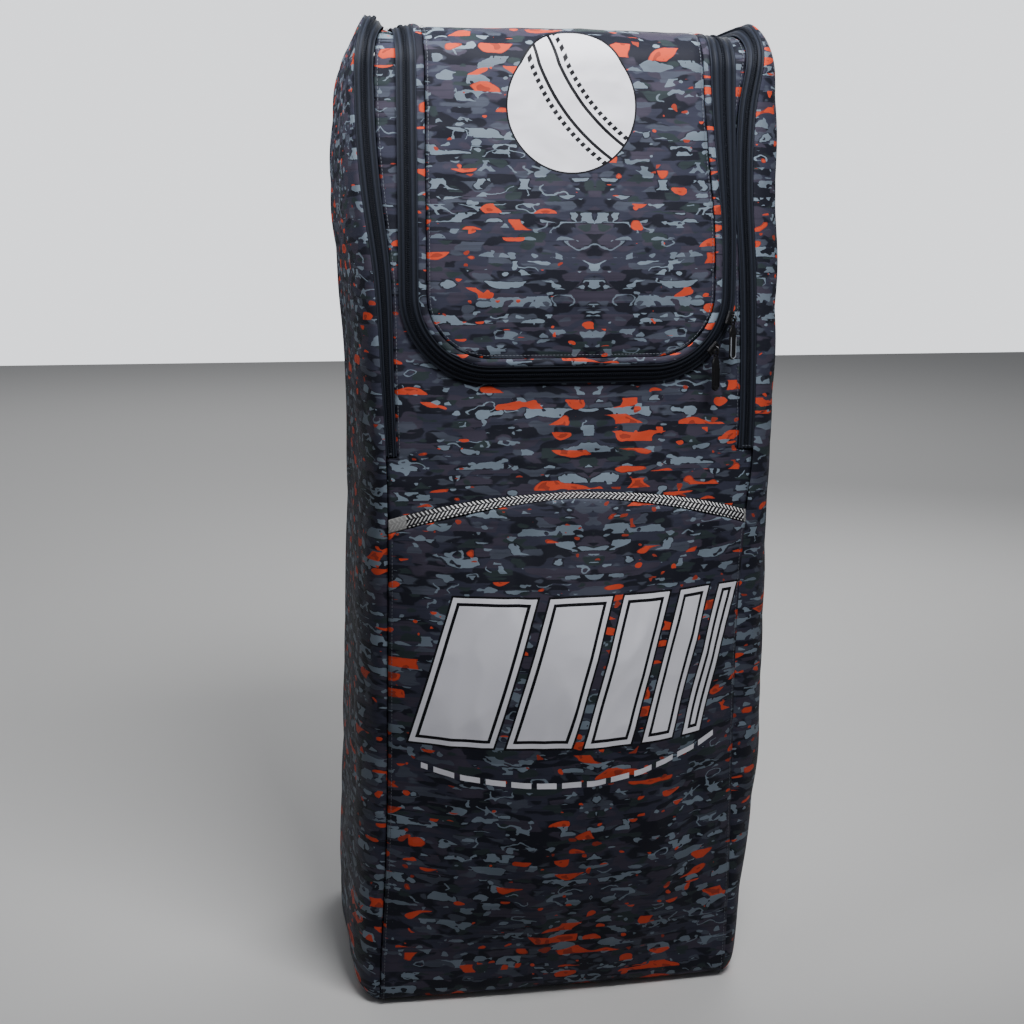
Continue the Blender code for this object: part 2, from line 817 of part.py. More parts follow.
def mesh_of(obj):
    """A curve's own mesh, closed, in world space. The curve is removed."""
    bpy.context.view_layer.update()
    graph = bpy.context.evaluated_depsgraph_get()
    mesh = bpy.data.meshes.new_from_object(obj.evaluated_get(graph))
    mesh.transform(obj.matrix_world)
    bm = bmesh.new()
    bm.from_mesh(mesh)
    bmesh.ops.remove_doubles(bm, verts=bm.verts, dist=PULL_BAR * WELD_SHARE)
    bmesh.ops.recalc_face_normals(bm, faces=bm.faces[:])
    bm.to_mesh(mesh)
    bm.free()
    bpy.data.objects.remove(obj)
    return mesh


def add_slider(collection, cutters, name, angle):
    """A slider's top plate on the coil, joined with the wire crown that holds the pull."""
    centre, out, along = slider_place(angle)
    obj, middle = add_plate(f"zip_slider_{name}", collection, centre, out, along)

    hinge, _, face = hinge_frame(angle)
    up = Vector((0, 0, 1))
    bend = [
        hinge + CROWN_RADIUS * (math.sin(a) * face - math.cos(a) * up)
        for a in steps(0.0, math.pi, 10)
    ]
    feet = [end_foot(point, face, out, middle) for point in (bend[0], bend[-1])]
    wire = add_tube(f"{name}_crown", cutters, "slider", [feet[0], *bend, feet[1]], CROWN_WIRE)
    crown = bpy.data.objects.new(f"{name}_crown_mesh", mesh_of(wire))
    cutters.objects.link(crown)
    crown.hide_render = True
    crown.display_type = "WIRE"
    join = obj.modifiers.new("crown", "BOOLEAN")
    join.operation = "UNION"
    join.object = crown


def end_foot(point, face, out, middle):
    """Follows a crown's leg back along the pull's face direction to the plate's middle plane."""
    distance = (point - middle).dot(out) / face.dot(out)
    return point - face * distance


def add_pull(collection, name, angle):
    """A flat pull with an eye round the crown, hanging straight down from its hinge. Its object
    has its origin on the hinge's axis."""
    hinge, axis, face = hinge_frame(angle)
    curve = bpy.data.curves.new(f"zip_pull_{name}_outline", "CURVE")
    curve.dimensions = "2D"
    curve.fill_mode = "BOTH"
    curve.extrude = PULL_THICKNESS / 2
    tip = PULL_LENGTH - PULL_BAR
    shoulder = PULL_BAR + PULL_EYE_LENGTH + PULL_WIDTH
    neck, half = PULL_NECK_WIDTH / 2, PULL_WIDTH / 2
    round_end = [
        (half * math.cos(a), -(tip - half) - half * math.sin(a)) for a in steps(0, math.pi, 8)
    ]
    body = [(neck, PULL_BAR), (neck, -shoulder + half), (half, -shoulder - half)]
    outline = body + round_end[1:-1] + [(-x, y) for x, y in reversed(body)]
    eye_half = PULL_EYE_WIDTH / 2
    eye = [
        (-eye_half, -PULL_BAR),
        (eye_half, -PULL_BAR),
        (eye_half, -PULL_BAR - PULL_EYE_LENGTH),
        (-eye_half, -PULL_BAR - PULL_EYE_LENGTH),
    ]
    for loop in (outline, eye):
        spline = curve.splines.new("POLY")
        spline.points.add(len(loop) - 1)
        spline.use_cyclic_u = True
        for point, (x, y) in zip(spline.points, loop):
            point.co = (x, y, 0.0, 1.0)
    flat = bpy.data.objects.new(f"zip_pull_{name}_outline", curve)
    collection.objects.link(flat)
    mesh = mesh_of(flat)
    mesh.name = f"zip_pull_{name}"
    obj = add_object(f"zip_pull_{name}", mesh, collection, "pull")
    turn = Matrix((axis, Vector((0, 0, 1)), axis.cross(Vector((0, 0, 1))))).transposed()
    obj.matrix_world = Matrix.Translation(hinge) @ turn.to_4x4()


def build():
    for obj in list(bpy.data.objects):
        bpy.data.objects.remove(obj)
    bag = bpy.data.collections.new("kit_bag")
    cutters = bpy.data.collections.new("kit_bag_cutters")
    for collection in (bag, cutters):
        bpy.context.scene.collection.children.link(collection)
    add_front_panel(bag)
    add_top_panel(bag)
    add_back_panel(bag)
    add_base_panel(bag)
    for name, side in (("left", -1), ("right", 1)):
        add_side_panel(f"side_panel_{name}", bag, side)
        add_main_zip(bag, name, side)
    add_rear_zip(bag)
    add_flap_face(bag)
    add_flap_edging(bag)
    add_flap_zip(bag)
    add_lower_pocket(bag)
    add_pocket_trim(bag)
    for name, angle in SLIDER_ANGLES.items():
        add_slider(bag, cutters, name, angle)
        add_pull(bag, name, angle)


build()
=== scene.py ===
# A tall camouflage cricket kit bag on a pale floor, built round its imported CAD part.
# Metres, +Z up, front towards -Y. The cloth, zips, trim and pulls are drawn here in detail.
import json
import math

import bpy
import numpy as np
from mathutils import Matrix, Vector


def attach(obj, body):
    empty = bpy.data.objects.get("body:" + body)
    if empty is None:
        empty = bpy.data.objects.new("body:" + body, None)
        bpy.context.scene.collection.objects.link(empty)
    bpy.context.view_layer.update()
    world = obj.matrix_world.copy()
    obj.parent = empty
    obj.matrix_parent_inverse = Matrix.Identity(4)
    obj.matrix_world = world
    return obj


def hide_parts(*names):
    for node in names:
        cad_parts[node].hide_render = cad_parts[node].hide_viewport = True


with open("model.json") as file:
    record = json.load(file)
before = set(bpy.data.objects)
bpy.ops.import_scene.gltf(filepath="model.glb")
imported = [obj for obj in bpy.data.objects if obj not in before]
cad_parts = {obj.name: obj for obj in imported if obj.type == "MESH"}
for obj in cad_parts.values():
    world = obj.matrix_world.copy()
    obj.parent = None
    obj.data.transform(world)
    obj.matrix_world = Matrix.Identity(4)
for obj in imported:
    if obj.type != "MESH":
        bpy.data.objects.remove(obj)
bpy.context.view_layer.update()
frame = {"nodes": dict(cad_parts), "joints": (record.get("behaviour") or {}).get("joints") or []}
print("frame loaded:", len(frame["nodes"]), "nodes")

bag = {
    "height": 0.948,
    "width": 0.420,
    "depth": 0.300,
    "wall": 0.003,
    "middle": 0.02525,  # the band's middle, behind the origin
    "backShare": 0.94,  # width at the back beside that at the front
    "topRadius": 0.048,
    "baseRadius": 0.018,
    "frontCrown": 0.030,
    "backCrown": 0.014,
    "topSag": 0.043,
    "sideRounding": 5.0,
    "sideTopRounding": 14.0,
    "sideBaseRounding": 60.0,
    "gap": 0.0005,
    "zipStart": 0.546,
    "zipWidth": 0.017,
    "zipStartLeft": 0.009,
    "zipStartRight": 0.015,
    "zipWidening": 0.26,
}

# Up the body: height, left seam, right seam, left side, right side, front swell, back swell
sections = np.array(
    [
        (0.00, 0.898, 0.785, 1.005, 0.890, 0.00, 0.00),
        (0.07, 0.885, 0.795, 1.007, 0.915, 0.42, 0.45),
        (0.14, 0.865, 0.800, 0.995, 0.955, 0.78, 0.75),
        (0.23, 0.848, 0.800, 0.975, 1.008, 1.00, 1.00),
        (0.38, 0.836, 0.805, 0.953, 1.023, 0.96, 1.00),
        (0.48, 0.828, 0.825, 0.932, 1.018, 0.75, 0.95),
        (0.56, 0.828, 0.862, 0.923, 1.022, 0.58, 0.85),
        (0.65, 0.845, 0.870, 0.932, 1.028, 0.46, 0.80),
        (0.75, 0.872, 0.858, 0.955, 1.028, 0.38, 0.80),
        (0.84, 0.924, 0.832, 0.985, 1.020, 0.33, 0.80),
        (0.91, 0.942, 0.836, 0.970, 1.012, 0.27, 0.65),
        (0.97, 0.930, 0.872, 0.940, 0.990, 0.18, 0.40),
        (1.00, 0.882, 0.860, 0.900, 0.960, 0.10, 0.20),
    ]
)
leftSeam, rightSeam, leftSide, rightSide, frontSwell, backSwell = range(1, 7)

# Lengths along the band, which runs up the front, over the top and down the back
baseArc = bag["baseRadius"] * math.pi / 2
topArc = bag["topRadius"] * math.pi / 2
frontEnd = baseArc + bag["height"] - bag["baseRadius"] - bag["topRadius"]
topStart = frontEnd + topArc
topEnd = topStart + bag["depth"] - 2 * bag["topRadius"]
backStart = topEnd + topArc
backEnd = backStart + frontEnd - baseArc
pathEnd = backEnd + baseArc
rearZip = topEnd + topArc / 2


def frontStation(height):
    return baseArc + height - bag["baseRadius"]


def smooth(t):
    t = np.clip(t, 0.0, 1.0)
    return t * t * (3 - 2 * t)


# A smooth curve through the rows: at each row its slope is the mean of the two beside it
def fromTable(rows, column, at):
    x, y = rows[:, 0], rows[:, column]
    steps = np.diff(x)
    slopes = np.diff(y) / steps
    tangents = np.concatenate((slopes[:1], (slopes[:-1] + slopes[1:]) / 2, slopes[-1:]))
    at = np.clip(at, x[0], x[-1])
    i = np.clip(np.searchsorted(x, at, side="right") - 1, 0, len(x) - 2)
    t = (at - x[i]) / steps[i]
    return (
        y[i] * (2 * t**3 - 3 * t**2 + 1)
        + tangents[i] * steps[i] * (t**3 - 2 * t**2 + t)
        + y[i + 1] * (3 * t**2 - 2 * t**3)
        + tangents[i + 1] * steps[i] * (t**3 - t**2)
    )


def section(column, z):
    return fromTable(sections, column, z / bag["height"])


def seamAt(side, z, y):
    across = bag["width"] / 2 * section(leftSeam if side < 0 else rightSeam, z)
    depth = (y - bag["middle"]) / bag["depth"] + 0.5
    return across * (1 - (1 - bag["backShare"]) * depth)


# Base point, outward direction and share of the way onto the top, at a length along the band
def pathPlace(s):
    s = np.asarray(s, float)
    front = bag["middle"] - bag["depth"] / 2
    back = bag["middle"] + bag["depth"] / 2
    small, large = bag["baseRadius"], bag["topRadius"]
    high = bag["height"] - large
    stretches = [s < baseArc, s < frontEnd, s < topStart, s < topEnd, s < backStart, s < backEnd]
    low, over = s / small, (s - frontEnd) / large
    down, last = (s - topEnd) / large, np.minimum((s - backEnd) / small, math.pi / 2)
    zero, one = np.zeros_like(s), np.ones_like(s)
    outY = np.select(stretches, [-np.sin(low), -one, -np.cos(over), zero, np.sin(down), one], np.cos(last))
    outZ = np.select(stretches, [-np.cos(low), zero, np.sin(over), one, np.cos(down), zero], -np.sin(last))
    along = front + large + s - topStart
    y = np.select(
        stretches,
        [front + small, front + zero, front + large + zero, along, back - large + zero, back + zero],
        back - small,
    )
    z = np.select(
        stretches,
        [
            small + zero,
            small + s - baseArc,
            high + zero,
            bag["height"] + zero,
            high + zero,
            high - (s - backStart),
        ],
        small,
    )
    radius = np.select(stretches, [small + zero, zero, large + zero, zero, large + zero, zero], small)
    onTop = np.select(
        stretches,
        [zero, zero, smooth(over / (math.pi / 2)), one, smooth(1 - down / (math.pi / 2)), zero],
        0.0,
    )
    return y + radius * outY, z + radius * outZ, outY, outZ, onTop


# A point h above the band: it swells by its crown times 1 - across squared on the front and back,
# and sags by 1 - across cubed on the top
def bandPoint(x, s, h):
    y, z, outY, outZ, onTop = pathPlace(s)
    seam = np.where(x < 0, seamAt(-1, z, y), seamAt(1, z, y))
    across = np.minimum(np.abs(x) / seam, 1.0)
    front = bag["frontCrown"] * section(frontSwell, z)
    back = bag["backCrown"] * section(backSwell, z)
    crown = np.where(s < (topStart + topEnd) / 2, front, back)
    lift = (1 - onTop) * crown * (1 - across**2) - onTop * bag["topSag"] * (1 - across**3) + h
    return np.stack([x + 0 * lift, y + lift * outY, z + lift * outZ], axis=-1)


# A sum of cosine waves in scattered directions, mostly between -1 and 1
def ripple(u, v, sizeU, sizeV, seed, waves=12):
    random = np.random.default_rng(seed)
    total = 0.0
    for angle, pace, phase in zip(
        random.uniform(0, 2 * math.pi, waves),
        random.uniform(0.6, 1.5, waves),
        random.uniform(0, 2 * math.pi, waves),
    ):
        total = total + np.cos(
            2 * math.pi * pace * (u / sizeU * math.cos(angle) + v / sizeV * math.sin(angle)) + phase
        )
    return total / math.sqrt(2 * waves)


# Dents in the cloth: the sum of each ripple's size times its absolute value
def dents(u, v, ripples):
    return sum(size * np.abs(ripple(u, v, *waves)) for size, *waves in ripples)


def addPiece(name, vertices, faces, uv=None):
    mesh = bpy.data.meshes.new(name)
    mesh.from_pydata(vertices.reshape(-1, 3).tolist(), [], faces.tolist())
    if uv is not None:
        layer = mesh.uv_layers.new(name="cloth")
        corners = np.empty(len(mesh.loops), np.int32)
        mesh.loops.foreach_get("vertex_index", corners)
        layer.data.foreach_set("uv", uv.reshape(-1, 2)[corners].ravel())
    mesh.update()
    mesh.shade_smooth()
    obj = bpy.data.objects.new(name, mesh)
    bpy.context.scene.collection.objects.link(obj)
    return obj


# The quads of a grid of rows by columns, row by row
def gridFaces(rows, columns, closed=False):
    i, j = np.meshgrid(np.arange(rows - 1), np.arange(columns if closed else columns - 1), indexing="ij")
    here, across = i * columns + j, i * columns + (j + 1) % columns
    return np.stack([here, across, across + columns, here + columns], -1).reshape(-1, 4)


def gridNormals(points):
    down, across = np.gradient(points, axis=0), np.gradient(points, axis=1)
    normal = np.cross(across, down)
    return normal / np.maximum(np.linalg.norm(normal, axis=-1, keepdims=True), 1e-12)


# A skin of cloth: points is rows by columns by 3, with the given thickness behind it
def addSkin(name, points, uv, thickness, outward=(0.0, -1.0, 0.0)):
    normal = gridNormals(points)
    faces = gridFaces(*points.shape[:2])
    if (normal.reshape(-1, 3) @ np.array(outward)).sum() < 0:
        faces = faces[:, ::-1]
    obj = addPiece(name, points, faces, uv)
    solid = obj.modifiers.new("thickness", "SOLIDIFY")
    solid.thickness = thickness
    solid.offset = -1.0
    solid.use_even_offset = True
    return obj


# A method that adds one Math node; a reflected one takes its two values the other way round
def mathMethod(operation, reflected=False):
    def method(self, *others):
        values = (self, *others)
        return self.graph.math(operation, *(values[::-1] if reflected else values))

    return method


# A socket's value. Operators on it add Math nodes: & takes the smaller value and | the larger one.
class Signal:
    def __init__(self, graph, socket):
        self.graph, self.socket = graph, socket

    __add__, __radd__ = mathMethod("ADD"), mathMethod("ADD", True)
    __sub__, __rsub__ = mathMethod("SUBTRACT"), mathMethod("SUBTRACT", True)
    __mul__, __rmul__ = mathMethod("MULTIPLY"), mathMethod("MULTIPLY", True)
    __truediv__, __rtruediv__ = mathMethod("DIVIDE"), mathMethod("DIVIDE", True)
    __pow__, __rpow__ = mathMethod("POWER"), mathMethod("POWER", True)
    __gt__, __lt__ = mathMethod("GREATER_THAN"), mathMethod("LESS_THAN")
    __and__, __or__ = mathMethod("MINIMUM"), mathMethod("MAXIMUM")
    __abs__, floor = mathMethod("ABSOLUTE"), mathMethod("FLOOR")
    fract, wave = mathMethod("FRACT"), mathMethod("SINE")


class Graph:
    def __init__(self, name):
        self.material = bpy.data.materials.new(name)
        self.material.use_nodes = True
        self.tree = self.material.node_tree
        self.shader = self.tree.nodes["Principled BSDF"]

    def node(self, kind, settings, inputs):
        made = self.tree.nodes.new(kind)
        for key, value in settings.items():
            setattr(made, key, value)
        for key, value in inputs.items():
            self.put(made.inputs[key], value)
        return made

    def put(self, socket, value):
        if isinstance(value, Signal):
            self.tree.links.new(value.socket, socket)
        else:
            socket.default_value = value

    def math(self, operation, *values):
        made = self.node("ShaderNodeMath", {"operation": operation}, dict(enumerate(values)))
        return Signal(self, made.outputs[0])

    def clamp(self, value):
        return Signal(self, self.node("ShaderNodeClamp", {}, {0: value}).outputs[0])

    # From 0 to 1 where a value passes a level; a negative sharpness turns it round
    def step(self, value, level, sharpness):
        return self.clamp((value - level) * sharpness)

    def vector(self, x, y, z=0.0):
        return Signal(self, self.node("ShaderNodeCombineXYZ", {}, {0: x, 1: y, 2: z}).outputs[0])

    def mix(self, share, first, second):
        pair = [(*c, 1.0) if isinstance(c, tuple) and len(c) == 3 else c for c in (first, second)]
        made = self.node("ShaderNodeMix", {"data_type": "RGBA"}, {0: share, 6: pair[0], 7: pair[1]})
        return Signal(self, made.outputs[2])

    def noise(self, u, v, sizeU, sizeV, seed, detail=0.0):
        spot = self.vector(u / sizeU, v / sizeV, seed * 7.31)
        made = self.node("ShaderNodeTexNoise", {}, {"Vector": spot, "Scale": 1.0, "Detail": detail})
        return Signal(self, made.outputs[0])

    # Three random numbers for each cell
    def random(self, x, y, seed):
        made = self.node("ShaderNodeTexWhiteNoise", {}, {0: self.vector(x, y, seed * 3.7)})
        parts = self.node("ShaderNodeSeparateXYZ", {}, {0: Signal(self, made.outputs[1])})
        return [Signal(self, out) for out in parts.outputs]

    def cloth(self):
        place = self.node("ShaderNodeUVMap", {"uv_map": "cloth"}, {})
        parts = self.node("ShaderNodeSeparateXYZ", {}, {0: Signal(self, place.outputs[0])})
        return Signal(self, parts.outputs[0]), Signal(self, parts.outputs[1])

    def bump(self, height, distance, strength=1.0):
        made = self.node("ShaderNodeBump", {}, {"Height": height, "Distance": distance, "Strength": strength})
        self.put(self.shader.inputs["Normal"], Signal(self, made.outputs[0]))

    def finish(self, **inputs):
        for key, value in inputs.items():
            self.put(self.shader.inputs[key.replace("_", " ")], value)
        return self.material


camoLook = {
    "row": 0.0150,
    "mirror": 0.015,
    "repeat": 0.190,
    "bite": 0.60,
    "dark": (0.0095, 0.0105, 0.0170),
    "slate": (0.0255, 0.0275, 0.0450),
    "mauve": (0.0350, 0.0310, 0.0480),
    "moss": (0.0200, 0.0285, 0.0320),
    "haze": (0.0520, 0.0600, 0.0830),
    "light": (0.140, 0.178, 0.222),
    "orange": (0.430, 0.048, 0.020),
    "burnt": (0.150, 0.024, 0.016),
}

# Each layer's rows as a share of the look's row, and its noise: width, height, seed and detail. The
# later layers also have the level where their shapes begin and their half height in a row.
camoLayers = {
    "broad": {"rows": 0.80, "noise": (0.034, 0.020, 11, 0.6)},
    "other": {"rows": 0.70, "noise": (0.026, 0.015, 12, 0.6)},
    "small": {"rows": 0.60, "noise": (0.024, 0.013, 14, 0.6)},
    "bars": {"rows": 1.00, "noise": (0.027, 0.017, 21, 0.5), "level": 0.612, "half": 0.30},
    "bits": {"rows": 0.60, "noise": (0.013, 0.009, 24, 0.5), "level": 0.695, "half": 0.42},
    "lines": {"rows": 1.10, "noise": (0.020, 0.012, 27, 0.5), "level": 0.600, "half": 0.30},
    "patches": {"rows": 1.00, "noise": (0.028, 0.017, 33, 0.3), "level": 0.672, "half": 0.30},
    "spots": {"rows": 0.62, "noise": (0.012, 0.010, 36, 0.3), "level": 0.755, "half": 0.40},
}

# The soft greys, one over another: layer, level, sharpness, share and colour
softGreys = (
    ("broad", 0.44, 30.0, 1.0, "slate"),
    ("other", 0.55, 30.0, 1.0, "mauve"),
    ("other", 0.40, -30.0, 1.0, "dark"),
    ("small", 0.63, 34.0, 0.8, "haze"),
    ("small", 0.36, -34.0, 1.0, "moss"),
)


# Noise that jumps from row to row, so that its shapes have flat tops and bottoms; also how far a
# place lies from the middle of its row, and the row's random number
def rowed(graph, u, v, layer):
    seed = layer["noise"][2]
    place = v / (camoLook["row"] * layer["rows"]) + seed * 0.37
    first, second, third = graph.random(place.floor(), 0.0, seed)
    pattern = graph.noise(u + first * 4.0, v + second * 0.9, *layer["noise"])
    return pattern, abs(place.fract() - 0.5), third


# Dark cloth with slate, mauve, moss and hazy shapes, and faint streaks over them
def greyShapes(graph, u, v, x, y):
    look = camoLook
    patterns = {name: rowed(graph, x, y, camoLayers[name])[0] for name in ("broad", "other", "small")}
    colour = look["dark"]
    for name, level, sharpness, share, tone in softGreys:
        colour = graph.mix(graph.step(patterns[name], level, sharpness) * share, colour, look[tone])
    streak = graph.noise(u, v, 0.080, 0.0030, 13, 2.0)
    return graph.mix(graph.step(streak, 0.50, 5.0) * 0.30, colour, look["dark"])


# Light bars with a dark rim, and small bits and thin lines between them
def lightShapes(graph, x, y, crowd, bite, colour):
    look, bar, bit, line = camoLook, camoLayers["bars"], camoLayers["bits"], camoLayers["lines"]
    bars, middle, shade = rowed(graph, x, y, bar)
    light = (bars > bar["level"]) & (middle < bar["half"]) & (bite < look["bite"])
    rim = (bars > bar["level"] - 0.020) & (middle < bar["half"] * 1.15) & (shade > 0.35)
    colour = graph.mix(rim * 0.75, colour, look["dark"])
    bits, middle = rowed(graph, x, y, bit)[:2]
    light = light | ((bits > bit["level"]) & (middle < bit["half"]))
    lines, middle = rowed(graph, x, y, line)[:2]
    light = light | ((abs(lines - line["level"]) < 0.020) & (middle < line["half"]) & (crowd < 0.42))
    return graph.mix(light * (0.62 + shade * 0.38), colour, look["light"])


# Orange patches and spots, which crowd in some places; the patches have darker cores
def orangeShapes(graph, x, y, crowd, bite, colour):
    look, patch, spot = camoLook, camoLayers["patches"], camoLayers["spots"]
    patches, middle, shade = rowed(graph, x, y, patch)
    excess = patches - patch["level"] + (crowd - 0.5) * 0.34
    warm = (excess > 0.0) & (middle < patch["half"])
    core = ((excess > 0.060) & (bite > 0.54)) | ((excess < 0.010) & (shade > 0.6))
    spots, middle = rowed(graph, x, y, spot)[:2]
    warm = warm | ((spots - spot["level"] + (crowd - 0.5) * 0.20 > 0.0) & (middle < spot["half"]))
    glow = graph.mix(core * 0.7, look["orange"], look["burnt"])
    return graph.mix(warm * 0.96, colour, glow)


# The print's greys repeat mirrored across the cloth, as such prints do; its oranges don't
def camouflage(graph, across, v):
    u = graph.math("PINGPONG", across - camoLook["mirror"], camoLook["repeat"])
    drift = (graph.noise(u, v, 0.11, 0.06, 3, 1.0) - 0.5) * 0.010
    rough = graph.noise(u, v, 0.0050, 0.0036, 5, 1.0) - 0.5
    x, y = u + rough * 0.0050, v + drift + rough * 0.0014
    crowd = graph.noise(across, v, 0.060, 0.050, 53)
    bite = graph.noise(x, y, 0.0095, 0.0075, 19, 0.5)
    colour = lightShapes(graph, x, y, crowd, bite, greyShapes(graph, u, v, x, y))
    x, y = across + rough * 0.0022, v + drift + rough * 0.0008
    return orangeShapes(graph, x, y, crowd, bite, colour)


clothLook = {"rough": 0.58, "inkRough": 0.42, "specular": 0.10, "thread": 0.0009, "slub": 0.004}


# Printed cloth; the print that may lie on the camouflage gives its shape and its colour
def clothMaterial(name, printed=None):
    graph, look = Graph(name), clothLook
    u, v = graph.cloth()
    colour, rough = camouflage(graph, u, v), look["rough"]
    if printed is not None:
        shape, ink = printed(graph, u, v)
        colour = graph.mix(shape, colour, ink)
        rough = shape * (look["inkRough"] - rough) + rough
    turns = 2 * math.pi / look["thread"]
    weave = (u * turns).wave() * (v * turns).wave()
    slub = graph.noise(u, v, look["slub"], look["slub"], 71, 2.0)
    graph.bump(weave * 0.35 + slub, 0.0004, 0.35)
    return graph.finish(Base_Color=colour, Roughness=rough, Specular_IOR_Level=look["specular"])


printLook = {"fill": (0.60, 0.60, 0.66), "line": (0.006, 0.006, 0.008)}

# Slanted bars of falling width on the lower pocket: each one's left end and width. The broken line
# under them bends by its sag times the square of the distance from sagMiddle.
barLook = {
    "bars": ((-0.158, 0.076), (-0.070, 0.060), (0.002, 0.046), (0.060, 0.032), (0.104, 0.020)),
    "low": 0.287,
    "high": 0.428,
    "slant": 0.30,
    "edge": 0.0020,
    "border": 0.0075,
    "keyline": 0.0030,
    "lineLow": 0.250,
    "lineWidth": 0.0055,
    "lineMiddle": -0.001,
    "lineHalf": 0.146,
    "sag": 1.05,
    "sagMiddle": -0.03,
    "dash": 0.0235,
    "dashGap": 0.22,
}


# How far a place lies inside a bar whose ends slant: the least distance to its four edges
def insideBar(u, v, left, width):
    slanted = u - (v - barLook["low"]) * barLook["slant"]
    return ((slanted - left) & (left + width - slanted)) & ((v - barLook["low"]) & (barLook["high"] - v))


# Light bars with a dark keyline and a light border, and a plain broken line under them
def pocketPrint(graph, u, v):
    look = barLook
    insides = [insideBar(u, v, left, width) for left, width in look["bars"]]
    inside = insides[0]
    for other in insides[1:]:
        inside = inside | other
    shape = inside > -look["edge"]
    dark = (inside < 0.0) | ((inside > look["border"] - look["keyline"]) & (inside < look["border"]))
    apart = u - look["sagMiddle"]
    line = abs(v - apart * apart * look["sag"] - look["lineLow"]) < look["lineWidth"] / 2
    line = line & ((u / look["dash"]).fract() > look["dashGap"])
    line = line & (abs(u - look["lineMiddle"]) < look["lineHalf"])
    return shape | line, graph.mix(dark & shape, printLook["fill"], printLook["line"])


# A plain light ball on the top of the helmet pocket, with two dark seams and a row of stitches
# outside each. They run along a line that is turned by the cosine and sine, and bends.
ballLook = {
    "across": -0.006,
    "up": 0.874,
    "radius": 0.058,
    "edge": 0.0016,
    "cosine": 0.80,
    "sine": 0.60,
    "bend": 2.88,
    "seamGap": 0.0085,
    "seam": 0.0030,
    "stitchGap": 0.0155,
    "stitchHalf": 0.0022,
    "pitch": 0.0062,
    "space": 0.45,
}


def flapPrint(graph, u, v):
    look = ballLook
    across, up = u - look["across"], v - look["up"]
    ball = look["radius"] - (across * across + up * up) ** 0.5
    along = up * look["cosine"] - across * look["sine"]
    bent = abs(across * look["cosine"] + up * look["sine"] - along * along * look["bend"])
    seam = abs(bent - look["seamGap"]) < look["seam"] / 2
    stitch = (along / look["pitch"]).fract() > look["space"]
    stitch = stitch & (abs(bent - look["stitchGap"]) < look["stitchHalf"])
    dark = seam | stitch | (ball < 0.0)
    return ball > -look["edge"], graph.mix(dark, printLook["fill"], printLook["line"])


def plainMaterial(name, colour, roughness, metallic=0.0, specular=0.3):
    graph = Graph(name)
    return graph.finish(
        Base_Color=(*colour, 1.0), Roughness=roughness, Metallic=metallic, Specular_IOR_Level=specular
    )


camoCloth = clothMaterial("camouflage cloth")
print("camouflage cloth made")


def place(obj, node, slotName, material, body="bag", fill=None):
    obj.data.materials.clear()
    obj.data.materials.append(material)
    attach(obj, body)
    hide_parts(node)
    return obj


def fullEdges(s):
    y, z = pathPlace(s)[:2]
    return -seamAt(-1, z, y) + bag["gap"], seamAt(1, z, y) - bag["gap"]


def mainZipWidth(side, s):
    start = bag["zipStartLeft"] if side < 0 else bag["zipStartRight"]
    widened = smooth((s - frontStation(bag["zipStart"])) / bag["zipWidening"])
    return start + (bag["zipWidth"] - start) * widened


def zippedEdges(s):
    left, right = fullEdges(s)
    return left + mainZipWidth(-1, s) + bag["gap"], right - mainZipWidth(1, s) - bag["gap"]


# A stretch of the band between two edges: x and s for each point of a rows by columns grid
def bandCells(stations, edges, columns):
    left, right = edges(stations)
    share = np.linspace(0, 1, columns + 1)
    x = left[:, None] + (right - left)[:, None] * share
    return x, np.repeat(stations[:, None], columns + 1, axis=1)


# How far cloth rolls down at its sewn edges: a share of the roll that falls off with the distance
def edgeRoll(x, s, edges, ends, roll=0.0012, reach=0.004):
    left, right = edges(s[:, 0])
    near = np.minimum(x - left[:, None], right[:, None] - x)
    near = np.minimum(near, np.minimum(s - ends[0], ends[1] - s))
    return -roll * np.exp(-((np.maximum(near, 0) / reach) ** 2))


# Small puckers along sewn edges: waves of about 16 mm that die off over a centimetre
def pucker(x, s, edges, size=0.0007, pace=0.016, reach=0.010):
    left, right = edges(s[:, 0])
    near = np.maximum(np.minimum(x - left[:, None], right[:, None] - x), 0)
    return size * ripple(s, x, pace, 0.25, 77, 8) * np.exp(-near / reach)


# The panels of the band; a ripple is a size, two wave lengths and a seed. Only the front one puckers.
panelLooks = {
    "front": {"rows": 240, "columns": 96, "ripples": [(0.0012, 0.09, 0.05, 5)], "fill": 0.7, "sink": 0.0002},
    "top": {"rows": 90, "columns": 96, "ripples": [(0.0018, 0.11, 0.07, 8)], "fill": 0.6},
    "back": {"rows": 220, "columns": 96, "ripples": [(0.0016, 0.16, 0.10, 9)], "fill": 0.7},
    "base": {"rows": 40, "columns": 60, "lift": 0.0003, "fill": 0.8},
}


# One panel of the band between two lengths along it; turned is -1 where the cloth is seen from behind
def buildPanel(name, stations, edges, outward, turned=1):
    look = panelLooks[name]
    x, s = bandCells(stations, edges, look["columns"])
    height = edgeRoll(x, s, edges, (stations[0], stations[-1]))
    if "sink" in look:
        height = height + pucker(x, s, edges) - look["sink"]
    height = height - dents(x, s, look["ripples"])
    cloth = np.stack([turned * x, s], -1)
    obj = addSkin(f"{name}Panel", bandPoint(x, s, height), cloth, bag["wall"], outward)
    place(obj, f"{name}_panel", "camouflage", camoCloth, fill=look["fill"])


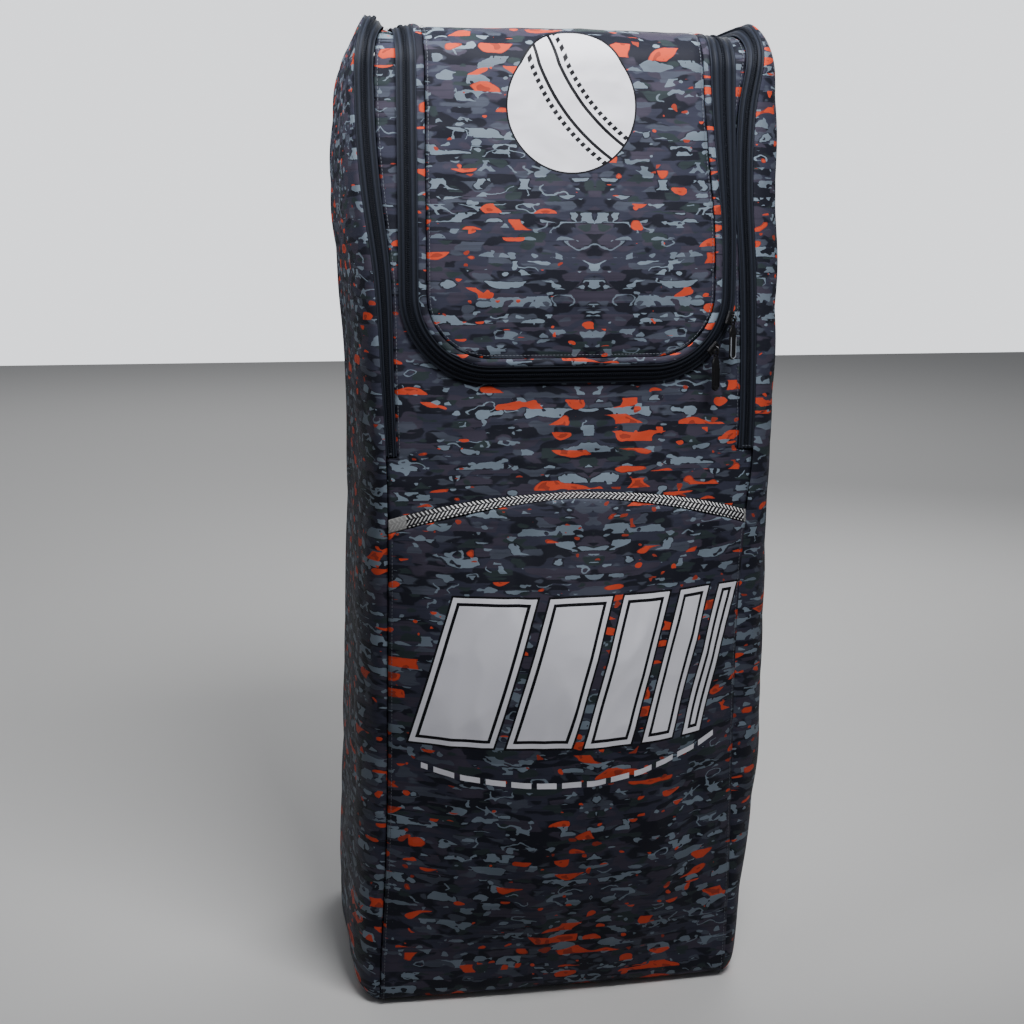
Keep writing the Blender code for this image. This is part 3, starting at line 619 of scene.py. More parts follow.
# The front panel is as wide as the bag below the main zips and narrower between them
def buildFront():
    start, end = frontStation(bag["zipStart"]), (frontEnd + topStart) / 2

    def edges(s):
        wide, narrow = fullEdges(s), zippedEdges(s)
        return tuple(np.where(s < start + bag["gap"], a, b) for a, b in zip(wide, narrow))

    even = np.linspace(0.0, end, panelLooks["front"]["rows"])
    stations = np.unique(np.concatenate((even, [start, start + 0.001])))
    buildPanel("front", stations, edges, (0, -1, 0))


def buildTopAndBack():
    start, end = (frontEnd + topStart) / 2 + bag["gap"], rearZip - bag["zipWidth"] / 2 - bag["gap"]
    buildPanel("top", np.linspace(start, end, panelLooks["top"]["rows"]), zippedEdges, (0, 0, 1))
    start = rearZip + bag["zipWidth"] / 2 + bag["gap"]
    stations = np.linspace(start, pathEnd, panelLooks["back"]["rows"])
    buildPanel("back", stations, fullEdges, (0, 1, 0), -1)


def buildBase():
    look = panelLooks["base"]
    half = bag["depth"] / 2 - bag["baseRadius"] - bag["gap"]
    y = np.linspace(bag["middle"] - half, bag["middle"] + half, look["rows"])
    y = np.repeat(y[:, None], look["columns"], axis=1)
    left, right = (seamAt(side, 0 * y, y) - bag["gap"] for side in (-1, 1))
    x = -left + (left + right) * np.linspace(0, 1, look["columns"])
    points = np.stack([x, y, look["lift"] + 0 * x], -1)
    obj = addSkin("basePanel", points, np.stack([x, y], -1), bag["wall"], (0, 0, -1))
    place(obj, "base_panel", "camouflage", camoCloth, fill=look["fill"])


buildFront()
print("front panel built")


# A side panel's skin: it bows out between the front seam, at turn 0, and the back one, at turn 1
def sidePoint(side, turn, s):
    y, z = pathPlace(s)[:2]
    cosine = np.cos(math.pi * turn)
    share = np.sign(cosine) * np.abs(cosine) ** (2 / bag["sideRounding"])
    spot = bag["middle"] + share * (y - bag["middle"])
    climb = 2 * z / bag["height"] - 1
    power = np.where(climb > 0, bag["sideTopRounding"], bag["sideBaseRounding"])
    swell = np.sin(math.pi * turn) * np.sqrt(np.maximum(1 - np.abs(climb) ** power, 0))
    rim = seamAt(side, z, spot)
    reach = bag["width"] / 2 * section(leftSide if side < 0 else rightSide, z)
    return np.stack([side * (rim + np.maximum(reach - rim, 0) * swell), spot, z], -1), swell


sideLook = {
    "rows": 230,
    "columns": 80,
    "gather": 0.06,  # draws the columns closer at the two corners
    "dent": (0.0022, 0.12, 0.16),
    "seed": 14,
    "clothAcross": 0.7,
    "clothUp": {-1: 1.94, 1: 0.33},  # where the left and the right one are cut from the print
    "fill": 0.7,
}


def buildSide(side, name):
    look = sideLook
    turn = np.linspace(0, 1, look["columns"] + 1)
    turn = turn - look["gather"] * np.sin(4 * math.pi * turn)
    s, turn = np.meshgrid(np.linspace(0, topStart, look["rows"]), turn, indexing="ij")
    points, swell = sidePoint(side, turn, s)
    steps = np.linalg.norm(np.diff(points, axis=1), axis=-1)
    along = np.concatenate((0 * s[:, :1], np.cumsum(steps, axis=1)), axis=1)
    dent = dents(along, s, [(*look["dent"], look["seed"] + side)]) * smooth(swell)
    points = points + gridNormals(points) * side * dent[..., None]
    cloth = np.stack([along * side + look["clothAcross"], s + look["clothUp"][side]], -1)
    obj = addSkin(f"sidePanel{name.capitalize()}", points, cloth, bag["wall"], (side, 0, 0))
    place(obj, f"side_panel_{name}", "camouflage", camoCloth, fill=look["fill"])


buildTopAndBack()
buildBase()
buildSide(-1, "left")
buildSide(1, "right")
print("top, back, base and sides built")

# The zips' tapes and coils, all of them alike
zipLook = {
    "thickness": 0.0014,
    "width": 0.017,
    "columns": 24,
    "rows": 420,
    "ribs": 4,
    "rib": 0.0011,
    "slit": 0.0006,
    "slitHalf": 0.03,
    "coilLift": 0.0003,
    "coilInset": 4,
    # low and high: the tape's dark and pale; the ribs' painted shade and painted highlight, and the grain,
    # mix between them
    "low": (0.0045, 0.0056, 0.0090),
    "high": (0.0150, 0.0185, 0.0285),
    "thread": 0.0011,
}


# Woven tape: ribs along it, from its second cloth coordinate, with painted highlight on their ridges and
# painted shade in their valleys, mixed with grain
def tapeMaterial():
    graph, look = Graph("zip tape"), zipLook
    u, v = graph.cloth()
    grain = graph.noise(u, v, 0.0012, 0.006, 91, 2.0)
    wave = (v * (2 * math.pi * look["ribs"] / look["width"]) + math.pi / 2).wave()
    # painted shade in the rib valleys and painted highlight on the ridges, seven parts to three of grain
    colour = graph.mix((wave * 0.5 + 0.5) * 0.7 + grain * 0.3, look["low"], look["high"])
    graph.bump((v * (2 * math.pi / look["thread"])).wave() * 0.5 + grain, 0.0003, 0.4)
    return graph.finish(Base_Color=colour, Roughness=0.6, Specular_IOR_Level=0.14)


tapeDark = tapeMaterial()
coilDark = plainMaterial("zip coil", (0.0060, 0.0075, 0.0120), 0.55, 0.0, 0.12)


# Across a zip's tape, from 0 to 1: cosine ribs with a slit along the middle
def zipProfile(share):
    ribs = zipLook["rib"] * (np.cos(2 * math.pi * zipLook["ribs"] * share) - 1) / 2
    return ribs - zipLook["slit"] * np.exp(-(((share - 0.5) / zipLook["slitHalf"]) ** 2))


def unit(vectors):
    return vectors / np.linalg.norm(vectors, axis=-1, keepdims=True)


# The length along a line at each of its points
def lengthAlong(line):
    return np.concatenate(([0], np.cumsum(np.linalg.norm(np.diff(line, axis=0), axis=1))))


# The values, given at the lengths, at some other lengths
def between(at, lengths, values):
    return np.stack([np.interp(at, lengths, values[:, k]) for k in range(3)], -1)


# A round tube along a line: its rings stand square to the line, set by the reference directions
def tubePoints(line, reference, radius, sides):
    tangent = np.gradient(line, axis=0)
    first = unit(np.cross(tangent, reference))
    second = unit(np.cross(tangent, first))
    turn = np.linspace(0, 2 * math.pi, sides, endpoint=False)
    ring = first[:, None] * np.cos(turn)[:, None] + second[:, None] * np.sin(turn)[:, None]
    return line[:, None] + ring * radius


# A wire wound flat round a line, one turn for each step of the pitch
def coilPiece(name, line, normal, half=0.0016, rise=0.0007, wire=0.00036, pitch=0.0020, steps=10, sides=5):
    length = lengthAlong(line)
    count = int(length[-1] / pitch * steps)
    at = np.linspace(0, length[-1], count)
    centre, up = between(at, length, line), between(at, length, normal)
    forward = unit(np.gradient(centre, axis=0))
    side = np.cross(forward, up)
    turn = (2 * math.pi * at / pitch)[:, None]
    wound = centre + side * np.cos(turn) * half + up * np.sin(turn) * rise
    return addPiece(name, tubePoints(wound, forward, wire, sides), gridFaces(count, sides, closed=True))


# A zip's coil lies a little above the middle of its tape and stops short of both ends
def addCoil(name, node, line, normal, inset=2):
    lifted = line + normal * zipLook["coilLift"]
    coil = coilPiece(name, lifted[inset:-inset], normal[inset:-inset])
    place(coil, node, "zip_coil", coilDark)


# Normals turned towards a direction
def facing(normal, direction):
    return normal * np.sign((normal * np.array(direction)).sum(-1, keepdims=True))


def mainZipCells(side, stations, columns):
    outer = fullEdges(stations)[0 if side < 0 else 1]
    inner = outer - side * mainZipWidth(side, stations)
    share = np.linspace(0, 1, columns + 1)
    x = outer[:, None] + (inner - outer)[:, None] * share
    return x, np.repeat(stations[:, None], columns + 1, axis=1), share


rollLook = {"size": {-1: 0.0036, 1: 0.0018}, "before": 0.035, "rise": 0.060, "after": 0.115, "fall": 0.090}


# The tapes roll up as they turn onto the top: a sine across the tape that comes and goes along it
def zipRoll(side, s, share):
    look = rollLook
    onto = smooth((s - frontEnd + look["before"]) / look["rise"])
    onto = onto * smooth((topStart + look["after"] - s) / look["fall"])
    return look["size"][side] * onto * np.sin(math.pi * share)


def buildMainZip(side, name):
    start, end = frontStation(bag["zipStart"]) + 3 * bag["gap"], rearZip + bag["zipWidth"] / 2
    stations = np.linspace(start, end, zipLook["rows"])
    x, s, share = mainZipCells(side, stations, zipLook["columns"])
    points = bandPoint(x, s, zipProfile(share) + zipRoll(side, s, share))
    cloth = np.stack([s, zipLook["width"] * share + 0 * x], -1)
    obj = addSkin(f"mainZipTape{name.capitalize()}", points, cloth, zipLook["thickness"])
    place(obj, f"main_zip_tape_{name}", "zip_tape", tapeDark)
    middle = zipLook["columns"] // 2
    normal = facing(gridNormals(points)[:, middle], (0, -1, 1))
    line = bandPoint(x[:, middle], stations, zipRoll(side, stations, 0.5))
    addCoil(f"mainZipCoil{name.capitalize()}", f"main_zip_coil_{name}", line, normal, zipLook["coilInset"])


# Stitches along a line: short spindles of thread that lie on the cloth, one for each pitch
def stitchRow(line, normal, pitch=0.0034, length=0.0025, radius=0.00026, sides=6):
    run = lengthAlong(line)
    at = np.arange(pitch, run[-1] - pitch, pitch)
    centre, up = between(at, run, line), between(at, run, normal)
    ahead = unit(between(at + pitch / 4, run, line) - centre)
    side = np.cross(ahead, up)
    turn = np.linspace(0, 2 * math.pi, sides, endpoint=False)
    ends = np.array([-0.5, -0.3, 0.3, 0.5]) * length
    thick = np.array([0.25, 1.0, 1.0, 0.25]) * radius
    ring = side[:, None, None] * np.cos(turn)[:, None] + up[:, None, None] * np.sin(turn)[:, None]
    points = (centre[:, None, None] + ahead[:, None, None] * ends[:, None, None]
              + ring * thick[:, None, None] - up[:, None, None] * radius * 0.1)
    one = gridFaces(len(ends), sides, closed=True)
    faces = one[None] + np.arange(len(at))[:, None, None] * len(ends) * sides
    return points.reshape(-1, 3), faces.reshape(-1, 4)


def joined(name, parts):
    offset, vertices, faces = 0, [], []
    for points, quads in parts:
        vertices.append(points)
        faces.append(quads + offset)
        offset += len(points)
    return addPiece(name, np.concatenate(vertices), np.concatenate(faces))


# Stitches on the band, along x and s, at a height above it
def bandStitches(x, s, height=0.0):
    line = bandPoint(x, s, height)
    step = 0.002
    across = bandPoint(x + step, s, height) - bandPoint(x - step, s, height)
    along = bandPoint(x, s + step, height) - bandPoint(x, s - step, height)
    return stitchRow(line, unit(np.cross(across, along)))


stitchLook = {
    "zipInset": 0.0030,
    "seamInset": 0.0032,
    "rearInset": 0.0035,
    "endInset": 0.0045,
    "margin": 0.004,
    "foot": 0.012,
    "before": 0.015,
    "behind": 0.016,
    "lift": 0.0003,
    "sink": 0.0003,
    "thread": (0.095, 0.104, 0.124),
}


# Stitches beside an edge of the band, between two lengths along it
def seamStitches(side, edges, low, high, inset, count=400, heightAt=None):
    s = np.linspace(low, high, count)
    x = edges(s)[0 if side < 0 else 1] - side * inset
    return bandStitches(x, s, 0.0 if heightAt is None else heightAt(x, s))


# Stitches across the lower end of a main zip
def zipEndStitches(side, start):
    outer, wide = float(fullEdges(start)[0 if side < 0 else 1]), float(mainZipWidth(side, start))
    inward = np.linspace(bag["gap"], wide - bag["gap"], 30)
    s = start + stitchLook["endInset"] + 0 * inward
    return bandStitches(outer - side * inward, s, stitchLook["lift"])


def buildStitches():
    look, start, inset = stitchLook, frontStation(bag["zipStart"]), stitchLook["seamInset"]
    pocketTop, zipTop = frontStation(pouch["side"]) - look["margin"], rearZip - look["before"]
    parts = []
    for side in (-1, 1):
        parts += [
            seamStitches(side, zippedEdges, start + look["margin"], zipTop, look["zipInset"]),
            seamStitches(side, fullEdges, look["foot"], pocketTop, inset, 240, pouchHeight),
            seamStitches(side, fullEdges, rearZip + look["behind"], pathEnd - look["foot"], inset),
            zipEndStitches(side, start),
        ]
    x = np.linspace(*(float(edge) for edge in fullEdges(rearZip)), 200)[4:-4]
    parts.append(bandStitches(x, rearZip + bag["zipWidth"] / 2 + look["rearInset"] + 0 * x))
    x, s = flapOutline([-flap["edging"] - look["zipInset"]])
    parts.append(bandStitches(x[0], s[0], flapHeight(x[0], s[0]) - look["sink"]))
    obj = joined("stitches", parts)
    obj.data.materials.append(plainMaterial("thread", look["thread"], 0.6, 0.0, 0.2))
    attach(obj, "bag")


def buildRearZip():
    half, middle = bag["zipWidth"] / 2, zipLook["columns"] // 2
    x, s = bandCells(np.linspace(rearZip - half, rearZip + half, zipLook["columns"]), zippedEdges, 180)
    share = (s - rearZip) / bag["zipWidth"] + 0.5
    points = bandPoint(x, s, zipProfile(share))
    cloth = np.stack([x, zipLook["width"] * share], -1)
    obj = addSkin("mainZipTapeRear", points, cloth, zipLook["thickness"], (0, 1, 1))
    place(obj, "main_zip_tape_rear", "zip_tape", tapeDark)
    line = bandPoint(x[0], rearZip + 0 * x[0], 0)
    addCoil("mainZipCoilRear", "main_zip_coil_rear", line, facing(gridNormals(points)[middle], (0, 1, 1)))


buildMainZip(-1, "left")
buildMainZip(1, "right")
buildRearZip()
print("main zip built")

# The helmet pocket on the upper front
flap = {
    "middle": -0.0015,
    "half": 0.1425,
    "bottom": 0.632,
    "lean": 0.016,
    "leanStart": 0.720,
    "leanEnd": 0.915,
    "footShare": 0.3,
    "corner": 0.065,
    "reach": 0.070,
    "wall": 0.0025,
    "edge": 0.0130,
    "crown": 0.009,
    "fade": 0.090,
    "edging": 0.007,
    "band": 0.017,
    "lay": 0.0010,
}
flapEnd = topStart + flap["reach"]


# The pocket's right edge leans in towards the top; the foot of its zip leans less
def flapLean(s, offset=0.0):
    rise = smooth((s - frontStation(flap["leanStart"])) / (flap["leanEnd"] - flap["leanStart"]))
    foot = np.clip(offset / flap["band"], 0, 1)
    return flap["lean"] * rise * (1 - (1 - flap["footShare"]) * foot)


def flapFade(s):
    least = (flap["wall"] + flap["lay"]) / flap["edge"]
    return least + (1 - least) * smooth((flapEnd - s) / flap["fade"])


def flapEdgeHeight(s):
    return flapFade(s) * flap["edge"]


# The pocket's face: the edge's height plus a crown of 1 - across squared, which fades in upwards
def flapHeight(x, s):
    across = np.minimum(np.abs(x - flap["middle"]) / flap["half"], 1)
    rise = smooth((s - frontStation(flap["bottom"])) / flap["fade"])
    return flapFade(s) * (flap["edge"] + flap["crown"] * (1 - across**2) * rise)


# The U outline moved out by each offset: down the left side, round the bottom, up the right side
def flapOutline(offsets, sideCount=150, turnCount=40, flatCount=70):
    offsets = np.asarray(offsets, float)[:, None]
    radius, half = flap["corner"], flap["half"]
    bottom = frontStation(flap["bottom"])
    cornerX, cornerS = half - radius, bottom + radius
    rise = np.linspace(cornerS, flapEnd, sideCount)[None, 1:]
    turn = np.linspace(0, math.pi / 2, turnCount)[None]
    flat = np.linspace(-cornerX, cornerX, flatCount)[None, 1:-1]
    curveX = cornerX + (radius + offsets) * np.cos(turn)
    curveS = cornerS - (radius + offsets) * np.sin(turn)
    rightX = half + offsets - flapLean(rise, offsets)
    x = np.hstack([-(half + offsets) + 0 * rise, -curveX, flat + 0 * offsets, curveX[:, ::-1], rightX])
    up = rise + 0 * offsets
    s = np.hstack([up[:, ::-1], curveS, bottom - offsets + 0 * flat, curveS[:, ::-1], up])
    return x + flap["middle"], s


flapFaceLook = {
    "rows": 150,
    "turnRows": 30,
    "columns": 120,
    "roll": 0.0016,
    "reach": 0.005,
    "ripples": [(0.0012, 0.10, 0.07, 21), (0.0004, 0.04, 0.03, 22)],
}


def buildFlapFace():
    look = flapFaceLook
    inset = flap["edging"] + bag["gap"]
    radius, half = flap["corner"] - inset, flap["half"] - inset
    bottom = frontStation(flap["bottom"]) + inset

    def edges(s):
        drop = np.maximum(bottom + radius - s, 0)
        reach = half - radius + np.sqrt(np.maximum(radius**2 - drop**2, 0))
        return flap["middle"] - reach, flap["middle"] + reach - flapLean(s)

    low = bottom + radius * (1 - np.cos(np.linspace(0, math.pi / 2, look["turnRows"])))
    stations = np.concatenate((low, np.linspace(low[-1], flapEnd, look["rows"])[1:]))
    x, s = bandCells(stations, edges, look["columns"])
    ends = (bottom, flapEnd + 0.02)  # its upper end doesn't roll
    height = flapHeight(x, s) + edgeRoll(x, s, edges, ends, look["roll"], look["reach"])
    height = height - dents(x, s, look["ripples"])
    obj = addSkin("flapPocketFace", bandPoint(x, s, height), np.stack([x, s], -1), flap["wall"])
    return place(obj, "flap_pocket_face", "camouflage", flapCloth)


flapEdgingLook = {"columns": 11, "bulge": 0.0014, "power": 0.6, "sink": 0.0004, "clothAcross": 0.5}


# The edging bulges by a power of a sine across it
def buildFlapEdging():
    look = flapEdgingLook
    share = np.linspace(-1, 0, look["columns"])
    x, s = flapOutline(share * flap["edging"])
    bulge = look["bulge"] * np.sin(math.pi * (share + 1)) ** look["power"]
    height = flapEdgeHeight(s) + bulge[:, None] - look["sink"]
    cloth = np.stack([x + look["clothAcross"], s], -1)
    obj = addSkin("flapPocketEdging", bandPoint(x, s, height), cloth, flap["wall"])
    return place(obj, "flap_pocket_edging", "camouflage", camoCloth)


def buildFlapZip():
    share = np.linspace(0, 1, zipLook["columns"] + 1)
    x, s = flapOutline(bag["gap"] + (flap["band"] - bag["gap"]) * share)
    foot = zipLook["thickness"] + flap["lay"]
    height = flapEdgeHeight(s) * (1 - share[:, None]) + foot * share[:, None]
    flat = bandPoint(x, s, height)
    normal = facing(gridNormals(flat), (0, -1, 0.5))
    points = flat + normal * zipProfile(share)[:, None, None]
    middle = zipLook["columns"] // 2
    cloth = np.stack([lengthAlong(points[middle]) + 0 * x, zipLook["width"] * share[:, None] + 0 * x], -1)
    obj = addSkin("flapZipTape", points, cloth, zipLook["thickness"])
    place(obj, "flap_pocket_zip_tape", "zip_tape", tapeDark)
    addCoil("flapZipCoil", "flap_pocket_zip_coil", flat[middle], normal[middle])


flapCloth = clothMaterial("flap cloth", flapPrint)
flapFace = buildFlapFace()
flapEdging = buildFlapEdging()
buildFlapZip()
print("helmet pocket built")

# The big pouch on the lower front
pouch = {
    "side": 0.475,
    "rise": 0.034,
    "bulge": 0.032,
    "wall": 0.0025,
    "arch": 1.7,
    "lay": 0.0010,
    "trim": 0.013,
    "trimWall": 0.0016,
}
pouchStart = baseArc * 2 / 3

# The trim's weave: rows of ticks, each with its slant, start, share of the pitch and place across
weaveLook = {
    "pitch": 0.0041,
    "rows": ((0.72, 0.0, 0.36, 0.66, 0.95), (-0.78, 0.35, 0.34, 0.24, 0.58), (0.0, 0.10, 0.40, 0.05, 0.15)),
    "light": (0.56, 0.56, 0.57),
    "dark": (0.007, 0.007, 0.009),
    "length": 0.366,
    "wornLeft": 0.018,
    "wornRight": 0.0099,
    "fade": 0.045,
    "faded": 0.45,
}


# A herringbone weave: light ticks that slant one way above and the other way below, and a row of
# dots under them. Both ends are worn to a plain grey, and the ticks fade near the left one.
def trimMaterial():
    graph, look = Graph("trim weave"), weaveLook
    u, v = graph.cloth()
    up, ticks = v / pouch["trim"], None
    for slant, start, share, low, high in look["rows"]:
        row = (((u + v * slant) / look["pitch"] + start).fract() < share) & (up > low) & (up < high)
        ticks = row if ticks is None else ticks | row
    worn = (u < look["wornLeft"]) | (u > look["length"] - look["wornRight"])
    grey = graph.noise(u, v, 0.0015, 0.0012, 81, 2.0) * 0.5
    faded = graph.clamp(1.0 - (u - look["wornLeft"]) / look["fade"]) * look["faded"]
    weave = graph.mix(ticks * (1.0 - faded), look["dark"], look["light"])
    colour = graph.mix(worn * 0.8, weave, graph.mix(grey, (0.10, 0.10, 0.10), (0.42, 0.42, 0.42)))
    graph.bump(ticks, 0.0004, 0.6)
    return graph.finish(Base_Color=colour, Roughness=0.5, Specular_IOR_Level=0.2)


# The pouch's swell, as a share, at shares of the way up from its foot to its mouth
pouchSwell = np.array([(0, 0), (0.12, 0.45), (0.26, 0.86), (0.46, 1), (0.66, 0.94), (0.85, 0.66), (1, 0.36)])


def pouchAcross(x, z):
    left, right = (seamAt(side, z, bag["middle"] - bag["depth"] / 2) for side in (-1, 1))
    return np.abs(x) / np.where(x < 0, left, right)


def pouchTop(x):
    across = pouchAcross(x, pouch["side"] + 0 * x)
    return frontStation(pouch["side"]) + pouch["rise"] * np.maximum(1 - across ** pouch["arch"], 0)


# The pouch stands out by its bulge, times a curve up its height, times 1 - across squared
def pouchHeight(x, s):
    across = np.minimum(pouchAcross(x, pathPlace(s)[1]), 1)
    up = (s - pouchStart) / (pouchTop(x) - pouchStart)
    swell = fromTable(pouchSwell, 1, up)
    return pouch["wall"] + pouch["lay"] + pouch["bulge"] * swell * (1 - across**2)


pouchLook = {
    "rows": 170,
    "columns": 130,
    "calm": 0.05,  # the width of its edges that stay smooth
    "ripples": [(0.0048, 0.12, 0.20, 33), (0.0012, 0.045, 0.075, 35)],
    "pucker": 0.0007,
    "puckerReach": 0.012,
    "roll": 0.0010,
    "rollReach": 0.004,
    "crease": 0.0055,
}

# Soft creases in the pouch: across, from and to along the band, lean and depth
pouchFolds = (
    (0.124, 0.135, 0.262, 0.006, 0.0022),
    (0.018, 0.085, 0.150, -0.004, 0.0016),
    (-0.120, 0.120, 0.300, -0.008, 0.0016),
    (0.060, 0.380, 0.470, 0.010, 0.0014),
    (-0.060, 0.400, 0.480, -0.010, 0.0014),
)


# A groove with a lower ridge beside it for each crease, faded at both ends
def foldHeight(x, s):
    total = 0.0
    for across, low, high, lean, depth in pouchFolds:
        run = (s - low) / (high - low)
        fade = smooth(run / 0.3) * smooth((1 - run) / 0.3)
        apart = (x - across - lean * (run - 0.5)) / pouchLook["crease"]
        total = total + depth * fade * (0.5 * np.exp(-((apart - 2.4) ** 2)) - np.exp(-(apart**2)))
    return total


def buildPouch():
    look = pouchLook
    share = np.linspace(0, 1, look["rows"])
    left, right = fullEdges(baseArc + (frontStation(pouch["side"]) - baseArc) * share)
    x = left[:, None] + (right - left)[:, None] * np.linspace(0, 1, look["columns"])
    s = pouchStart + (pouchTop(x) - pouchStart) * share[:, None]
    edge = np.minimum(x - left[:, None], right[:, None] - x)
    edge = np.minimum(edge, np.minimum(s - pouchStart, pouchTop(x) - s))
    calm, near = smooth(edge / look["calm"]), np.maximum(edge, 0)
    height = pouchHeight(x, s) + calm * (foldHeight(x, s) - dents(x, s, look["ripples"]))
    puckers = look["pucker"] * ripple(s, x, 0.020, 0.25, 34, 8)
    height = height + puckers * np.exp(-near / look["puckerReach"])
    height = height - look["roll"] * np.exp(-((near / look["rollReach"]) ** 2))
    obj = addSkin("lowerPocket", bandPoint(x, s, height), np.stack([x, s], -1), pouch["wall"])
    return place(obj, "lower_pocket_panel", "camouflage", pouchCloth)


trimLook = {"rows": 15, "columns": 260, "bulge": 0.0008, "sink": 0.0005}


# The trim lies from the pouch's mouth down to the front panel, with a round section
def buildTrim():
    look = trimLook
    left, right = (float(edge) for edge in fullEdges(frontStation(pouch["side"])))
    x, share = np.meshgrid(np.linspace(left, right, look["columns"]), np.linspace(0, 1, look["rows"]))
    low = pouchTop(x)
    edge = pouchHeight(x, low)
    fall = edge - pouch["trimWall"] - pouch["lay"]
    climb = np.sqrt(np.maximum(pouch["trim"] ** 2 - fall**2, (pouch["trim"] / 3) ** 2))
    bulge = look["bulge"] * np.sqrt(np.maximum(1 - (2 * share - 1) ** 2, 0)) - look["sink"]
    points = bandPoint(x, low + bag["gap"] + climb * share, edge - fall * share + bulge)
    cloth = np.stack([lengthAlong(points[look["rows"] // 2]) + 0 * x, share * pouch["trim"]], -1)
    obj = addSkin("lowerPocketTrim", points, cloth, pouch["trimWall"])
    return place(obj, "lower_pocket_trim", "pocket_trim", trimWeave)


pouchCloth = clothMaterial("pocket cloth", pocketPrint)
trimWeave = trimMaterial()
pouchPanel = buildPouch()
pouchTrim = buildTrim()
buildStitches()
print("lower pocket and stitches built")

metalDark = plainMaterial("slider metal", (0.03, 0.03, 0.033), 0.35, 0.8)
for name in ("zip_slider_upper", "zip_slider_lower", "main_zip_slider"):
    node = frame["nodes"][name]
    node.data.materials.clear()
    node.data.materials.append(metalDark)

pullLook = {
    "length": 0.0385,
    "half": 0.0047,
    "thick": 0.00135,
    "neckHalf": 0.0026,
    "neckThick": 0.0009,
    "neckLength": 0.007,
    "eyeHalf": 0.00205,
    "eyeLength": 0.0062,
    "eyeCorner": 0.3,
    "wire": 0.00080,
    "corner": 0.7,
    "recess": 0.00055,
    "rimShare": 0.80,
    "rimFoot": 0.0042,
    "rimDrop": 0.0030,
    "rimRise": 0.017,
    "rimWire": 0.00045,
    "rubber": (0.004, 0.004, 0.005),
    # the upper pull's rim colour, a painted highlight
    "rim": (0.16, 0.17, 0.19),
}
pullOut, pullUp = np.array([[0.0, 1.0, 0.0]]), np.array([0.0, 0.0, 1.0])


# A power of a sine or cosine that keeps its sign, which squares a circle off
def squared(value, power):
    return np.sign(value) * np.abs(value) ** power


# A quarter circle's rise, from 0 at the tip of a rounded end to 1 where it is full
def roundEnd(share):
    return np.sqrt(np.maximum(1 - np.clip(1 - share, 0, 1) ** 2, 0))


# The wire eye round the slider's crown
def pullEye():
    look = pullLook
    turn = np.linspace(0, 2 * math.pi, 49)
    wide = squared(np.cos(turn), look["eyeCorner"]) * look["eyeHalf"]
    tall = (squared(np.sin(turn), look["eyeCorner"]) - 1) * look["eyeLength"] / 2
    return tubePoints(np.stack([wide, 0 * turn, tall], -1), pullOut, look["wire"], 10)


# The moulded grip: its section is a flattened ellipse with a sunk middle
def pullGrip():
    look = pullLook
    start = 0.0002 - look["eyeLength"]
    share = (1 - np.cos(np.linspace(0, math.pi, 70))) / 2
    z = start - (look["length"] + start) * share
    neck = smooth((start - z) / look["neckLength"])
    begin, taper = roundEnd(share / 0.03), roundEnd((1 - share) / 0.14)
    half = (look["neckHalf"] + (look["half"] - look["neckHalf"]) * neck) * taper * begin + 0.00001
    thick = (look["neckThick"] + (look["thick"] - look["neckThick"]) * neck) * taper**0.5 * begin + 0.00001
    angle = np.linspace(0, 2 * math.pi, 40, endpoint=False)
    x = half[:, None] * squared(np.cos(angle), look["corner"])
    y = thick[:, None] * squared(np.sin(angle), look["corner"])
    sunk = smooth((0.62 - np.abs(x) / half[:, None]) / 0.18)
    sunk = sunk * smooth((share[:, None] - 0.22) / 0.05) * smooth((0.90 - share[:, None]) / 0.05)
    return np.stack([x, y - np.sign(y) * sunk * look["recess"], z[:, None] + 0 * x], -1)


# A raised rim round the lower part of the grip's face
def pullRim():
    look = pullLook
    turn = np.linspace(0, math.pi, 61)
    across = look["half"] * look["rimShare"] * np.cos(turn)
    low = look["rimFoot"] - look["length"] - look["rimDrop"] * np.maximum(np.sin(turn), 0)
    arc = np.stack([across, 0 * across, low], -1)
    rise = np.linspace(look["rimRise"], 0, 20)[:-1, None] * pullUp
    loop = np.concatenate((arc[0] + rise, arc, (arc[-1] + rise)[::-1]))
    return tubePoints(loop + pullOut * (look["thick"] - 0.0001), pullOut, look["rimWire"], 8)


# Both pulls hang from their hinges. A pull's own x is along its hinge, z up and y outwards. The
# upper one's rim is pale, a painted highlight; the lower one's rim is dark rubber like its grip.
def buildPulls():
    rubberDark = plainMaterial("pull rubber", pullLook["rubber"], 0.42, 0.0, 0.2)
    rimHighlight = plainMaterial("pull rim highlight", pullLook["rim"], 0.4, 0.0, 0.3)
    joints = {joint["name"]: joint for joint in frame["joints"]}
    tubes = (pullEye(), pullGrip(), pullRim())
    shapes = [(tube.reshape(-1, 3), gridFaces(*tube.shape[:2], closed=True)) for tube in tubes]
    for name in ("upper", "lower"):
        joint = joints[f"pull_{name}_swing"]
        axis = np.array(joint["axis"], float)
        axis = axis / np.linalg.norm(axis)
        turn = np.stack([axis, np.cross(pullUp, axis), pullUp])
        parts = [(points @ turn + np.array(joint["pos_m"]), quads) for points, quads in shapes]
        obj = joined(f"zipPull{name.capitalize()}", parts)
        place(obj, f"zip_pull_{name}", "pull_rubber", rubberDark, f"pull_{name}")
        obj.data.materials.append(rimHighlight)
        kinds = np.zeros(len(obj.data.polygons), np.int32)
        # the upper pull's rim takes the pale painted highlight, the lower one's stays dark rubber
        kinds[-len(parts[2][1]):] = 1 if name == "upper" else 0
        obj.data.polygons.foreach_set("material_index", kinds)


buildPulls()
print("pulls built")

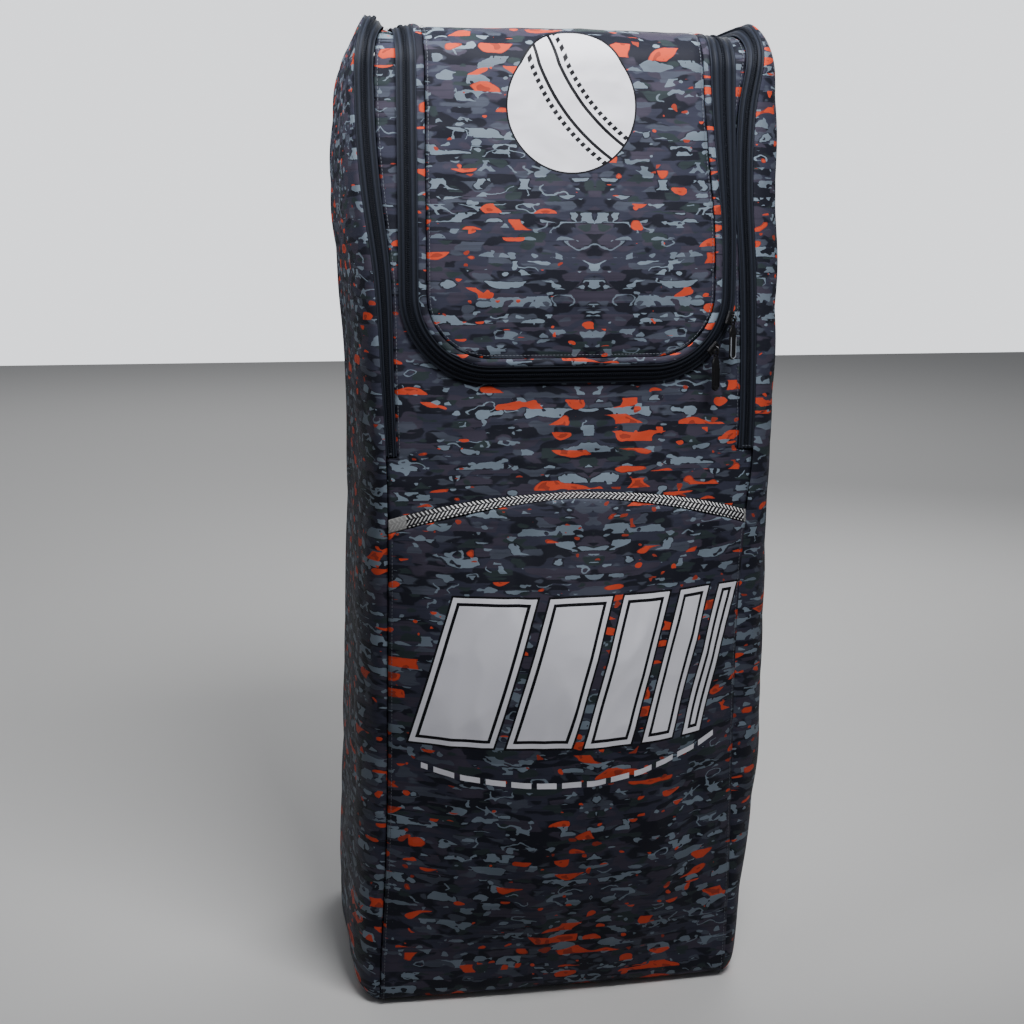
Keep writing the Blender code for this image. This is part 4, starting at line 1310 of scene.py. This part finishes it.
bpy.context.view_layer.update()
camera = bpy.data.objects.new("camera", bpy.data.cameras.new("camera"))
camera.data.lens = 53.58
camera.data.sensor_width = 36.0
camera.location = (-0.301, -1.52475, 0.747)
camera.rotation_euler = (math.radians(79.84), 0.0, math.radians(-9.95))
bpy.context.scene.collection.objects.link(camera)
bpy.context.scene.camera = camera

floor = bpy.data.objects.new("floor", bpy.data.meshes.new("floor"))
floor.data.from_pydata([(-8, -8, 0), (8, -8, 0), (8, 8, 0), (-8, 8, 0)], [], [(0, 1, 2, 3)])
floor.data.materials.append(plainMaterial("pale floor", (0.72, 0.72, 0.72), 0.9))
bpy.context.scene.collection.objects.link(floor)

world = bpy.data.worlds.new("studio")
world.use_nodes = True
sky = world.node_tree.nodes["Background"]
sky.inputs[0].default_value = (0.94, 0.96, 1.0, 1.0)
ray = world.node_tree.nodes.new("ShaderNodeLightPath")
level = world.node_tree.nodes.new("ShaderNodeMapRange")  # the backdrop is brighter than its light
level.inputs["To Min"].default_value = 0.16
level.inputs["To Max"].default_value = 1.6
world.node_tree.links.new(ray.outputs["Is Camera Ray"], level.inputs["Value"])
world.node_tree.links.new(level.outputs[0], sky.inputs[1])
bpy.context.scene.world = world

# Each light's place, the point that it faces, its size, power and spread in degrees
lights = {
    "keyLight": ((0.18, -0.76, 1.58), (0.0, 0.0, 1.00), 0.6, 9.8, 95.0),
    "leftLight": ((-0.62, -0.35, 1.32), (0.0, 0.0, 1.10), 0.4, 4.4, 80.0),
    "backLight": ((1.1, 1.8, 1.9), (0.0, 0.0, 0.6), 1.4, 18.0, 180.0),
    "backdropLight": ((0.0, 4.2, 3.4), (0.0, 4.6, 0.0), 4.0, 60.0, 180.0),
}
for name, (spot, aim, size, power, spread) in lights.items():
    lamp = bpy.data.lights.new(name, "AREA")
    lamp.size, lamp.energy, lamp.spread = size, power, math.radians(spread)
    obj = bpy.data.objects.new(name, lamp)
    obj.location = spot
    obj.rotation_euler = (Vector(aim) - Vector(spot)).to_track_quat("-Z", "Y").to_euler()
    bpy.context.scene.collection.objects.link(obj)
print("camera, floor and light placed")
